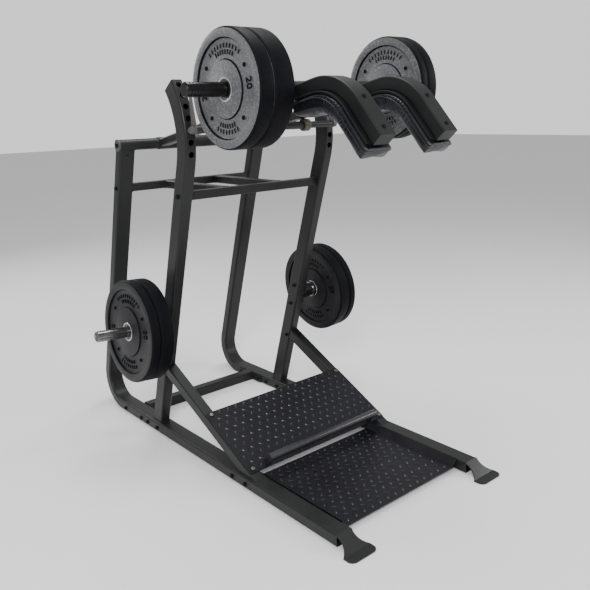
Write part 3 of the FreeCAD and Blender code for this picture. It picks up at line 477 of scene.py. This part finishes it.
half_across = Vector((PITCH_ACROSS / 2, 0, 0))
upper_first = TREAD_TOP + Vector((-0.380, 0, 0)) + tread_down * 0.016
lozenge_field("tread_lozenges_upper_a", upper_first, tread_down, tread_up, 18, 6, radians(-50))
lozenge_field("tread_lozenges_upper_b", upper_first + half_across + tread_down * PITCH_DOWN / 2,
              tread_down, tread_up, 17, 5, radians(40))
lower_rear_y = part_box("lower_tread_plate")[1][1]
flat_down = Vector((0, -1, 0))
flat_up = Vector((0, 0, 1))
lower_first = Vector((-0.290, lower_rear_y - 0.026, 0.025))
lozenge_field("tread_lozenges_lower_a", lower_first, flat_down, flat_up, 14, 8, radians(-50))
lozenge_field("tread_lozenges_lower_b", lower_first + half_across + flat_down * PITCH_DOWN / 2, flat_down,
              flat_up, 13, 7, radians(40))

# ---------------------------------------------------------------- calf bar
# A round tube over the lower edge of the tilted plate, gloss black, that stops the heels.
# It stands on two small welded webs.
bar_gloss = coated_material(
    "gloss_black_bar",
    (0.014, 0.014, 0.017, 1),
    (0.020, 0.020, 0.024, 1),
    0.24, 0.3, 500.0, coat=0.2, specular=0.5,
)
paint_node("calf_bar", bar_gloss)

# ---------------------------------------------------------------- horns and stop bar
# The load horns are dark polished tube. The storage horns are brighter; a near-black disc sunk in each
# free end is painted shade standing for the hollow of the tube. The stop bar is dark in the middle,
# carries a moulded roller on each side and ends in two pale tapered plates with their pins.
horn_dark = metal_material(
    "dark_polished_horn",
    (0.030, 0.030, 0.031, 1),
    (0.045, 0.045, 0.047, 1),
    0.26, 0.2, 300.0,
)
horn_bright = metal_material(
    "bright_polished_horn",
    (0.16, 0.16, 0.165, 1),
    (0.26, 0.26, 0.265, 1),
    0.16, 0.2, 300.0,
)
ear_grey = coated_material(
    "pale_grey_coat",
    (0.085, 0.083, 0.080, 1),
    (0.11, 0.108, 0.104, 1),
    0.42, 0.4, 700.0,
)
bar_dark = coated_material(
    "worn_dark_bar",
    (0.020, 0.020, 0.020, 1),
    (0.034, 0.033, 0.031, 1),
    0.34, 0.4, 500.0,
)
for side in SIDES:
    paint_node("load_horn_" + side, horn_dark)
    paint_node("storage_horn_" + side, horn_bright)
paint_node("stop_bar", bar_dark)
paint_node("stop_bar_ears", ear_grey)


# Near-black disc sunk in each storage horn's free end: painted shade for the hollow of the tube.
horn_hollow_shade = coated_material(
    "horn_hollow_painted_shade",
    (0.003, 0.003, 0.003, 1),
    (0.005, 0.005, 0.005, 1),
    0.5, 0.3, 500.0,
)
HORN_ROOT_X = 0.4065
HORN_TIP_X = 0.745
HORN_Z = 0.583
HORN_TILT = radians(4.0)
END_SUNK = 0.0004
for side, s in SIDES.items():
    tilt_now = Matrix.Rotation(-s * HORN_TILT, 4, "Y")
    root = Vector((s * HORN_ROOT_X, leaning_y(FRONT_LINE_Y, HORN_Z), HORN_Z))
    place = root + tilt_now @ Vector((s * (HORN_TIP_X - HORN_ROOT_X - END_SUNK), 0, 0))
    bpy.ops.object.select_all(action="DESELECT")
    bpy.ops.mesh.primitive_cylinder_add(vertices=40, radius=0.0175, depth=0.0016, rotation=(0, pi / 2, 0))
    end = bpy.context.object
    end.name = "horn_end_" + side
    bpy.ops.object.transform_apply(location=False, rotation=True, scale=False)
    end.matrix_world = Matrix.Translation(place) @ tilt_now
    bpy.ops.object.transform_apply(location=True, rotation=True, scale=True)
    bpy.ops.object.mode_set(mode="EDIT")
    bpy.ops.mesh.select_mode(type="FACE")
    bpy.ops.mesh.select_all(action="DESELECT")
    shape = bmesh.from_edit_mesh(end.data)
    for face in shape.faces:
        face.select_set(len(face.verts) > 8)
    bmesh.update_edit_mesh(end.data)
    bpy.ops.mesh.inset(thickness=0.002, depth=-0.0004)
    bpy.ops.object.mode_set(mode="OBJECT")
    end.data.materials.append(horn_hollow_shade)
    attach(end, "frame")


SHADED_CENTRE_SHARE = 0.70
RIM_TONE_SHARE = 0.74


def roller_material():
    """Moulded roller in its own amber-grey tone with a near-black centre as painted shade, set by the
    distance from the axis.
    """
    paint = bpy.data.materials.new("moulded_roller")
    paint.use_nodes = True
    tree = paint.node_tree
    add = tree.nodes.new
    link = tree.links.new
    shader = tree.nodes["Principled BSDF"]
    low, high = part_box("stop_roller_left")
    place = add("ShaderNodeTexCoord")
    centred = add("ShaderNodeMapping")
    centred.inputs["Location"].default_value = (0, -(low[1] + high[1]) / 2, -(low[2] + high[2]) / 2)
    link(place.outputs["Object"], centred.inputs["Vector"])
    flatten = add("ShaderNodeVectorMath")
    flatten.operation = "MULTIPLY"
    flatten.inputs[1].default_value = (0, 1, 1)
    link(centred.outputs["Vector"], flatten.inputs[0])
    reach = add("ShaderNodeVectorMath")
    reach.operation = "LENGTH"
    link(flatten.outputs["Vector"], reach.inputs[0])
    # Near-black out to the shaded-centre share is painted shade; the amber-grey beyond is the roller's own
    # tone.
    ramp = add("ShaderNodeValToRGB")
    ramp.color_ramp.elements[0].position = 0.0
    ramp.color_ramp.elements[0].color = (0.006, 0.006, 0.0065, 1)
    ramp.color_ramp.elements[1].position = 1.0
    ramp.color_ramp.elements[1].color = (0.060, 0.050, 0.034, 1)
    for position, colour in ((SHADED_CENTRE_SHARE, (0.008, 0.008, 0.0085, 1)),
                             (RIM_TONE_SHARE, (0.070, 0.060, 0.042, 1))):
        stop = ramp.color_ramp.elements.new(position)
        stop.color = colour
    scale = add("ShaderNodeMath")
    scale.operation = "DIVIDE"
    scale.inputs[1].default_value = (high[2] - low[2]) / 2
    link(reach.outputs["Value"], scale.inputs[0])
    link(scale.outputs["Value"], ramp.inputs["Fac"])
    link(ramp.outputs["Color"], shader.inputs["Base Color"])
    skin = add("ShaderNodeGroup")
    skin.node_tree = COAT_SKIN
    skin.inputs["Roughness"].default_value = 0.42
    skin.inputs["Peel"].default_value = 0.8
    link(skin.outputs["Roughness"], shader.inputs["Roughness"])
    bump = add("ShaderNodeBump")
    bump.inputs["Strength"].default_value = 0.3
    bump.inputs["Distance"].default_value = 0.0005
    link(skin.outputs["Height"], bump.inputs["Height"])
    link(bump.outputs["Normal"], shader.inputs["Normal"])
    return paint


roller_tone_and_shade = roller_material()
for side in SIDES:
    paint_node("stop_roller_" + side, roller_tone_and_shade)

# ---------------------------------------------------------------- weight plates
# Moulded plates with a raised rim, a recessed web, a raised hub disc and a steel ring at the bore.
# Each is turned from a drum by stepping in from both faces. The top ones get pale grey faces as a painted
# sheen; walls, steps and raised marks get a darker copy of the rubber as painted shade.
HORN_BORE = 0.0253
HUB_RING = 0.0400
HUB_RING_INNER = 0.0362
PLATE_FACETS = 112
RIM_SHARE = 0.83
HUB_SHARE = 0.475
WEB_SHARE = 0.655
FACE_SHARE = 0.985
WEB_DEPTH = 0.0070
RIM_ROUND = 0.0095
NUMBER_SIZE = 0.042
NUMBER_TURN = 0.12

# Walls, steps and raised marks take a darker copy of the rubber than the faces: black rubber plus painted
# shade.
black_rubber_and_wall_shade = sparkle_material("black_plate_rubber_and_wall_shade", (0.0016, 0.0016, 0.0026, 1), (0.014, 0.014, 0.018, 1),
                               0.50, 520.0, 0.58, 0.0008, 0.07)
dark_face = sparkle_material("dark_plate_face", (0.0045, 0.0045, 0.0058, 1), (0.022, 0.022, 0.026, 1),
                             0.36, 260.0, 0.54, 0.0010, 0.26)
# The top plates' pale grey face is the same rubber lightened as a painted sheen.
painted_sheen_face = sparkle_material("grey_face_painted_sheen", (0.058, 0.059, 0.063, 1), (0.135, 0.135, 0.143, 1),
                             0.26, 130.0, 0.52, 0.0012, 0.6)
bore_steel = metal_material(
    "plate_bore_steel",
    (0.10, 0.10, 0.10, 1),
    (0.14, 0.14, 0.14, 1),
    0.35, 0.3, 400.0,
)
ring_steel = metal_material(
    "hub_ring_steel",
    (0.55, 0.55, 0.56, 1),
    (0.70, 0.70, 0.71, 1),
    0.16, 0.2, 400.0,
)


def select_faces(piece, wanted):
    bpy.ops.mesh.select_mode(type="FACE")
    bpy.ops.mesh.select_all(action="DESELECT")
    shape = bmesh.from_edit_mesh(piece.data)
    for face in shape.faces:
        face.select_set(wanted(face))
    bmesh.update_edit_mesh(piece.data)


def turned_plate(name, radius, thick):
    """Plate centred at the origin with its axis along X."""
    bpy.ops.object.select_all(action="DESELECT")
    bpy.ops.mesh.primitive_cylinder_add(vertices=PLATE_FACETS, radius=radius, depth=thick,
                                        rotation=(0, pi / 2, 0))
    plate = bpy.context.object
    plate.name = name
    bpy.ops.object.transform_apply(location=False, rotation=True, scale=False)
    rim = radius * RIM_SHARE
    hub = radius * HUB_SHARE
    steps = ((rim, 0.0), (rim - 0.004, -0.0080), (hub + 0.004, 0.0), (hub, 0.0060),
             (HUB_RING + 0.001, 0.0), (HUB_RING, 0.0015), (HUB_RING_INNER, 0.0),
             (HUB_RING_INNER - 0.001, -0.0020), (HORN_BORE, 0.0))
    bpy.ops.object.mode_set(mode="EDIT")
    for outward in (1, -1):
        reached = radius
        select_faces(plate, lambda face: face.normal.x * outward > 0.9 and len(face.verts) > 8)
        for next_radius, step_depth in steps:
            bpy.ops.mesh.inset(thickness=reached - next_radius, depth=step_depth)
            reached = next_radius
    select_faces(plate, lambda face: len(face.verts) > 8)
    bpy.ops.mesh.delete(type="FACE")
    bpy.ops.mesh.select_mode(type="EDGE")
    bpy.ops.mesh.select_all(action="DESELECT")
    shape = bmesh.from_edit_mesh(plate.data)
    for edge in shape.edges:
        edge.select_set(edge.is_boundary)
    bmesh.update_edit_mesh(plate.data)
    bpy.ops.mesh.bridge_edge_loops()
    bpy.ops.mesh.select_all(action="SELECT")
    bpy.ops.mesh.normals_make_consistent(inside=False)
    bpy.ops.object.mode_set(mode="OBJECT")
    return plate


def finish_plate(plate, face_paint, radius):
    """Materials by zone, rounded edges and smooth shading."""
    for paint in (black_rubber_and_wall_shade, face_paint, ring_steel, bore_steel):
        plate.data.materials.append(paint)
    # Slot 0, the darker wall rubber with its painted shade, stays on the walls and steps.
    for face in plate.data.polygons:
        reach = hypot(face.center.y, face.center.z)
        if reach < HUB_RING_INNER:
            face.material_index = 3
        elif reach < HUB_RING + 0.001:
            face.material_index = 2
        elif reach < radius * FACE_SHARE and abs(face.normal.x) > 0.9:
            face.material_index = 1
    make_active(plate)
    edges = plate.modifiers.new("edges", "BEVEL")
    edges.limit_method = "ANGLE"
    edges.angle_limit = radians(28)
    edges.width = 0.0022
    edges.segments = 2
    bpy.ops.object.modifier_apply(modifier=edges.name)
    bpy.ops.object.shade_smooth_by_angle(angle=radians(35))


def round_rim(plate, radius, width):
    """Wide round-over on the two outer edges of the drum."""
    make_active(plate)
    bpy.ops.object.mode_set(mode="EDIT")
    bpy.ops.mesh.select_mode(type="EDGE")
    bpy.ops.mesh.select_all(action="DESELECT")
    shape = bmesh.from_edit_mesh(plate.data)
    for edge in shape.edges:
        low, high = edge.verts
        on_rim = all(abs(hypot(v.co.y, v.co.z) - radius) < 1e-4 for v in edge.verts)
        edge.select_set(on_rim and abs(low.co.x - high.co.x) < 1e-5)
    bmesh.update_edit_mesh(plate.data)
    bpy.ops.mesh.bevel(offset=width, segments=4, affect="EDGES")
    bpy.ops.object.mode_set(mode="OBJECT")


def raised_number(name, text, place, outward, size, spin):
    """Generic raised numerals on the web of a plate."""
    bpy.ops.object.select_all(action="DESELECT")
    bpy.ops.object.text_add()
    mark = bpy.context.object
    mark.name = name
    mark.data.body = text
    mark.data.align_x = "CENTER"
    mark.data.align_y = "CENTER"
    mark.data.size = size
    mark.data.extrude = 0.0016
    mark.data.bevel_depth = 0.0003
    mark.data.resolution_u = 2
    bpy.ops.object.convert(target="MESH")
    mark = bpy.context.object
    facing = Vector((outward, 0, 0))
    upright = Vector((0, sin(spin), cos(spin)))
    turn_to = Matrix((upright.cross(facing), upright, facing)).transposed().to_4x4()
    mark.matrix_world = Matrix.Translation(place) @ turn_to
    bpy.ops.object.transform_apply(location=True, rotation=True, scale=True)
    return mark


def round_boss(name, place, outward):
    """Small domed boss on the web."""
    bpy.ops.object.select_all(action="DESELECT")
    bpy.ops.mesh.primitive_cylinder_add(vertices=20, radius=0.0075, depth=0.004, rotation=(0, pi / 2, 0),
                                        location=place)
    boss = bpy.context.object
    boss.name = name
    bpy.ops.object.transform_apply(location=True, rotation=True, scale=True)
    bpy.ops.object.mode_set(mode="EDIT")
    select_faces(boss, lambda face: face.normal.x * outward > 0.9)
    bpy.ops.mesh.inset(thickness=0.002, depth=0.0012)
    bpy.ops.mesh.inset(thickness=0.002, depth=-0.001)
    bpy.ops.object.mode_set(mode="OBJECT")
    return boss


def raised_bar(name, place, outward, spin):
    """Plain raised bar moulded on the web, set square to the radius."""
    bpy.ops.object.select_all(action="DESELECT")
    bpy.ops.mesh.primitive_cube_add(size=1)
    bar = bpy.context.object
    bar.name = name
    bpy.ops.object.mode_set(mode="EDIT")
    select_faces(bar, lambda face: face.normal.x * outward > 0.9)
    bpy.ops.transform.resize(value=(1, 0.6, 0.8))
    bpy.ops.object.mode_set(mode="OBJECT")
    size = Matrix.Diagonal((0.0036, 0.0050, 0.0170, 1))
    bar.matrix_world = Matrix.Translation(place) @ Matrix.Rotation(-spin, 4, "X") @ size
    bpy.ops.object.transform_apply(location=True, rotation=True, scale=True)
    return bar


def plate_stack():
    """Every plate's side, sign, stack, rank and face finish."""
    for side, s in SIDES.items():
        for stack, face in (("top", painted_sheen_face), ("stored", dark_face)):
            for rank in ("inner", "outer"):
                yield side, s, stack, rank, face


for side, s, stack, rank, face in plate_stack():
    node = stack + "_" + rank + "_plate_" + side
    low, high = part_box(node)
    tilt = HORN_TILT if stack == "stored" else 0.0
    height = high[2] - low[2]
    depth = high[0] - low[0]
    # a tilted drum's box is wider than the drum: solve back for its own radius and thickness
    thick = (depth * cos(tilt) - height * sin(tilt)) / (cos(tilt) ** 2 - sin(tilt) ** 2)
    radius = (high[1] - low[1]) / 2
    middle = Vector(((low[0] + high[0]) / 2, (low[1] + high[1]) / 2, (low[2] + high[2]) / 2))
    plate = turned_plate("plate_" + stack + "_" + rank + "_" + side, radius, thick)
    round_rim(plate, radius, RIM_ROUND)
    finish_plate(plate, face, radius)
    extras = []
    web = radius * WEB_SHARE
    for outward in (1, -1):
        on_web = outward * (thick / 2 - WEB_DEPTH)
        for spin, text in ((0.5 * pi, "20"), (1.5 * pi, "20")):
            place = (on_web, web * sin(spin + NUMBER_TURN), web * cos(spin + NUMBER_TURN))
            extras.append(raised_number(plate.name + "_number", text, place, outward, NUMBER_SIZE,
                                        spin + NUMBER_TURN))
        for row, first, count, step in ((0.70, -0.62, 11, 0.125), (0.60, -0.40, 8, 0.115),
                                        (0.70, pi - 0.42, 8, 0.120), (0.60, pi - 0.34, 7, 0.115)):
            for number in range(count):
                spin = first + number * step
                place = (on_web, radius * row * sin(spin), radius * row * cos(spin))
                extras.append(raised_bar(plate.name + "_bar", place, outward, spin))
        for spin in (0.98, 2.36, 3.93, 5.30):
            place = (on_web, web * sin(spin), web * cos(spin))
            extras.append(round_boss(plate.name + "_boss", place, outward))
    # Raised marks take the darker wall rubber, painted shade round the lettering.
    for extra in extras:
        extra.data.materials.append(black_rubber_and_wall_shade)
    bpy.ops.object.select_all(action="DESELECT")
    for piece in [plate] + extras:
        piece.select_set(True)
    bpy.context.view_layer.objects.active = plate
    for extra in extras:
        for polygon in extra.data.polygons:
            polygon.material_index = 0
    bpy.ops.object.join()
    plate.matrix_world = Matrix.Translation(middle) @ Matrix.Rotation(-s * tilt, 4, "Y")
    make_active(plate)
    bpy.ops.object.transform_apply(location=True, rotation=True, scale=True)
    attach(plate, node)
    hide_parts(node)

# ---------------------------------------------------------------- shoulder arms and pad boards
# The arms are the same tube as the frame, bent over the shoulder, with two bolts in the top face and
# a coated plate closing each end. A black painted plywood board under each arm carries its pad.
arm_coat = coated_material(
    "arm_charcoal_coat",
    (0.0080, 0.0083, 0.0085, 1),
    (0.0110, 0.0113, 0.0116, 1),
    0.42, 0.5, 650.0,
)
board_paint = coated_material(
    "black_board_paint",
    (0.0035, 0.0035, 0.0045, 1),
    (0.0050, 0.0050, 0.0060, 1),
    0.55, 1.0, 300.0,
)
for side in SIDES:
    paint_node("shoulder_arm_" + side, arm_coat)
    paint_node("pad_board_" + side, board_paint)
paint_node("arm_caps", arm_coat)

# ---------------------------------------------------------------- shoulder pads
# Foam pads under black gloss vinyl, pulled over the board's edges. The cover is gathered in short
# pleats on its sides where the pad bends, and its lower end is rounded over.
ARM_X = 0.165
ARM_RISE = 0.194533
ARM_DROP = radians(48)
ARM_BEND_R = 0.205
ARM_CORNER = Vector((-0.6598, 1.62805))
BOARD_SIDE_DEPTH = 0.0356
PAD_THICK = 0.058
PAD_HALF = 0.071
rise_way = Vector((-cos(ARM_RISE), sin(ARM_RISE)))
drop_way = Vector((-cos(ARM_DROP), -sin(ARM_DROP)))
rise_out = Vector((sin(ARM_RISE), cos(ARM_RISE)))
drop_out = Vector((-sin(ARM_DROP), cos(ARM_DROP)))
arm_turn = ARM_RISE + ARM_DROP
bend_centre = ARM_CORNER - rise_way * (ARM_BEND_R * tan(arm_turn / 2)) - rise_out * ARM_BEND_R
bend_arc = ARM_BEND_R * arm_turn


def along_arm(y, z):
    """Distance along the arm from the start of its bend, and depth below its centre line."""
    spot = Vector((y, z)) - bend_centre
    angle = atan2(spot.dot(rise_way), spot.dot(rise_out))
    if angle < 0:
        return spot.dot(rise_way), ARM_BEND_R - spot.dot(rise_out)
    if angle > arm_turn:
        return bend_arc + spot.dot(drop_way), ARM_BEND_R - spot.dot(drop_out)
    return ARM_BEND_R * angle, ARM_BEND_R - spot.length


def arm_point(reach, depth):
    """Point in the side plane at a distance along the arm and a depth below its centre line."""
    if reach < 0:
        return bend_centre + rise_out * (ARM_BEND_R - depth) + rise_way * reach
    if reach > bend_arc:
        return bend_centre + drop_out * (ARM_BEND_R - depth) + drop_way * (reach - bend_arc)
    angle = reach / ARM_BEND_R
    out = rise_out * cos(angle) + rise_way * sin(angle)
    return bend_centre + out * (ARM_BEND_R - depth)


def vinyl_material():
    """Gloss black upholstery vinyl with a fine leather grain."""
    paint = bpy.data.materials.new("gloss_black_vinyl")
    paint.use_nodes = True
    tree = paint.node_tree
    add = tree.nodes.new
    link = tree.links.new
    shader = tree.nodes["Principled BSDF"]
    place = add("ShaderNodeTexCoord")
    grain = add("ShaderNodeTexVoronoi")
    grain.feature = "DISTANCE_TO_EDGE"
    grain.inputs["Scale"].default_value = 620.0
    link(place.outputs["Object"], grain.inputs["Vector"])
    cells = add("ShaderNodeMapRange")
    cells.inputs["From Max"].default_value = 0.12
    link(grain.outputs["Distance"], cells.inputs["Value"])
    skin = add("ShaderNodeGroup")
    skin.node_tree = COAT_SKIN
    skin.inputs["Base"].default_value = (0.0045, 0.0045, 0.0075, 1)
    skin.inputs["Pale"].default_value = (0.0065, 0.0065, 0.0105, 1)
    skin.inputs["Roughness"].default_value = 0.24
    skin.inputs["Peel"].default_value = 0.3
    skin.inputs["Grain Scale"].default_value = 240.0
    relief = add("ShaderNodeMath")
    relief.operation = "ADD"
    link(cells.outputs["Result"], relief.inputs[0])
    link(skin.outputs["Height"], relief.inputs[1])
    bump = add("ShaderNodeBump")
    bump.inputs["Strength"].default_value = 0.22
    bump.inputs["Distance"].default_value = 0.0003
    link(relief.outputs["Value"], bump.inputs["Height"])
    link(skin.outputs["Color"], shader.inputs["Base Color"])
    link(skin.outputs["Roughness"], shader.inputs["Roughness"])
    link(bump.outputs["Normal"], shader.inputs["Normal"])
    shader.inputs["Specular IOR Level"].default_value = 0.30
    shader.inputs["Coat Weight"].default_value = 0.05
    shader.inputs["Coat Roughness"].default_value = 0.16
    return paint


vinyl = vinyl_material()
PLEAT_PITCH = 0.019
PLEAT_DEPTH = 0.0046
TIP_ROUND = 0.030
TIP_INSET = 0.013
SWELL_LIMIT = 0.011
SIDE_BAND_START = 0.016
SIDE_BAND = 0.012
PLEAT_TOP_FADE = 0.010
PLEAT_LOW_FADE = 0.014
PLEAT_LEAN = 0.010
COVER_VOXEL = 0.005
COVER_TAPER = 0.05
EASE_START = 0.012
EASE_LENGTH = 0.030
EASE_LIFT = 0.004
HELD_DEPTH = 0.009


def swell(pad, pinned):
    """Inflate the cover over its foam with a short cloth run, holding the board side still."""
    cloth = pad.modifiers.new("cover", "CLOTH")
    settings = cloth.settings
    settings.use_pressure = True
    settings.uniform_pressure_force = 4.0
    settings.effector_weights.gravity = 0.0
    settings.vertex_group_mass = pinned
    settings.quality = 6
    settings.tension_stiffness = 18
    settings.compression_stiffness = 18
    cloth.point_cache.frame_start = 1
    cloth.point_cache.frame_end = 20
    before = [v.co.copy() for v in pad.data.vertices]
    for number in range(1, 21):
        bpy.context.scene.frame_set(number)
    make_active(pad)
    bpy.ops.object.modifier_apply(modifier=cloth.name)
    bpy.context.scene.frame_set(1)
    for v, start in zip(pad.data.vertices, before):
        move = v.co - start
        if move.length > SWELL_LIMIT:
            v.co = start + move * (SWELL_LIMIT / move.length)


def pleat(pad, x_middle):
    """Short gathers on the pad's sides, strong in the bend, and a rounded lower end."""
    tip = max(along_arm(v.co.y, v.co.z)[0] for v in pad.data.vertices)
    for v in pad.data.vertices:
        reach, depth = along_arm(v.co.y, v.co.z)
        below = depth - BOARD_SIDE_DEPTH
        side_share = (abs(v.co.x - x_middle) - PAD_HALF + SIDE_BAND_START) / SIDE_BAND
        side_share = min(max(side_share, 0.0), 1.0)
        level = (min(max(below / PLEAT_TOP_FADE, 0.0), 1.0)
                 * min(max((PAD_THICK - below) / PLEAT_LOW_FADE, 0.0), 1.0))
        fade_in = min(max((reach - bend_arc * 0.15) / 0.05, 0.0), 1.0)
        fade_out = 1.0 - min(max((reach - bend_arc * 0.8) / 0.15, 0.0), 1.0)
        wave = 0.5 - 0.5 * cos(2 * pi * (reach + PLEAT_LEAN * level) / PLEAT_PITCH)
        pull = PLEAT_DEPTH * side_share * level * fade_in * fade_out * wave ** 1.4
        outward = 1 if v.co.x > x_middle else -1
        near_tip = min(max((reach - tip + TIP_ROUND) / TIP_ROUND, 0.0), 1.0)
        rounding = 1 - (1 - near_tip ** 2) ** 0.5
        v.co.x -= outward * (pull + TIP_INSET * rounding * side_share)
        under_share = min(max((below - 0.5 * PAD_THICK) / (0.5 * PAD_THICK), 0.0), 1.0)
        lift = 0.6 * TIP_INSET * rounding * under_share
        v.co.y += drop_out.x * lift
        v.co.z += drop_out.y * lift


for side, s in SIDES.items():
    node = "shoulder_pad_" + side
    x_middle = s * ARM_X
    pad = nodes[node].copy()
    pad.data = nodes[node].data.copy()
    pad.name = "pad_cover_" + side
    pad.parent = None
    bpy.context.scene.collection.objects.link(pad)
    for key in list(pad.keys()):
        del pad[key]
    make_active(pad)
    bpy.ops.object.mode_set(mode="EDIT")
    bpy.ops.mesh.select_all(action="SELECT")
    bpy.ops.mesh.remove_doubles(threshold=0.00002)
    bpy.ops.object.mode_set(mode="OBJECT")
    pad.data.remesh_voxel_size = COVER_VOXEL
    bpy.ops.object.voxel_remesh()
    for v in pad.data.vertices:
        reach, depth = along_arm(v.co.y, v.co.z)
        inward = x_middle - v.co.x
        v.co.x += inward * COVER_TAPER
        under = depth - BOARD_SIDE_DEPTH
        if under > EASE_START:
            lift = EASE_LIFT * min((under - EASE_START) / EASE_LENGTH, 1.0)
            away = (Vector((v.co.y, v.co.z)) - arm_point(reach, depth - 0.01)).normalized()
            v.co.y -= away.x * lift
            v.co.z -= away.y * lift
    held = pad.vertex_groups.new(name="held")
    for v in pad.data.vertices:
        reach, depth = along_arm(v.co.y, v.co.z)
        if depth - BOARD_SIDE_DEPTH < HELD_DEPTH:
            held.add([v.index], 1.0, "REPLACE")
    swell(pad, "held")
    make_active(pad)
    finer = pad.modifiers.new("finer", "SUBSURF")
    finer.levels = 1
    finer.render_levels = 1
    bpy.ops.object.modifier_apply(modifier=finer.name)
    pleat(pad, x_middle)
    pad.vertex_groups.clear()
    bpy.ops.object.shade_smooth()
    pad.data.materials.clear()
    pad.data.materials.append(vinyl)
    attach(pad, "lever")
    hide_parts(node)

# ---------------------------------------------------------------- pad piping
# A vinyl piped seam runs round each pad just under its board, where the side panel meets the top
# panel. It is one closed cord with a small round section, sewn flush into the cover. Its vinyl is
# paler than the cover as a painted highlight along the seam.
PIPE_R = 0.0016
PIPE_BELOW = 0.0130
PIPE_OUT = 0.0010
# Paler than the cover vinyl: painted highlight along the seam.
piping_vinyl_painted_highlight = coated_material(
    "piping_vinyl_painted_highlight",
    (0.012, 0.012, 0.015, 1),
    (0.018, 0.018, 0.021, 1),
    0.24, 0.3, 900.0, specular=0.4,
)
pad_tip = max(along_arm(v.co.y, v.co.z)[0] for v in nodes["shoulder_pad_left"].data.vertices)
pad_root = min(along_arm(v.co.y, v.co.z)[0] for v in nodes["shoulder_pad_left"].data.vertices)
for side, s in SIDES.items():
    bpy.ops.object.select_all(action="DESELECT")
    bpy.ops.mesh.primitive_plane_add(size=1)
    cord = bpy.context.object
    cord.name = "pad_piping_" + side
    cord.scale = (2 * (PAD_HALF + PIPE_OUT), pad_tip - pad_root + 2 * PIPE_OUT, 1)
    bpy.ops.object.transform_apply(location=True, rotation=True, scale=True)
    bpy.ops.object.mode_set(mode="EDIT")
    bpy.ops.mesh.select_all(action="SELECT")
    bpy.ops.mesh.bevel(offset=0.014, segments=4, affect="VERTICES")
    bpy.ops.mesh.select_all(action="SELECT")
    bpy.ops.mesh.delete(type="ONLY_FACE")
    bpy.ops.mesh.select_all(action="SELECT")
    bpy.ops.mesh.subdivide(number_cuts=30)
    bpy.ops.object.mode_set(mode="OBJECT")
    for v in cord.data.vertices:
        reach = (pad_tip + pad_root) / 2 + v.co.y
        spot = arm_point(reach, BOARD_SIDE_DEPTH + PIPE_BELOW)
        v.co = (s * ARM_X + v.co.x, spot.x, spot.y)
    bpy.ops.object.convert(target="CURVE")
    cord.data.bevel_depth = PIPE_R
    cord.data.bevel_resolution = 2
    bpy.ops.object.convert(target="MESH")
    cord = bpy.context.object
    bpy.ops.object.shade_smooth()
    cord.data.materials.append(piping_vinyl_painted_highlight)
    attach(cord, "lever")
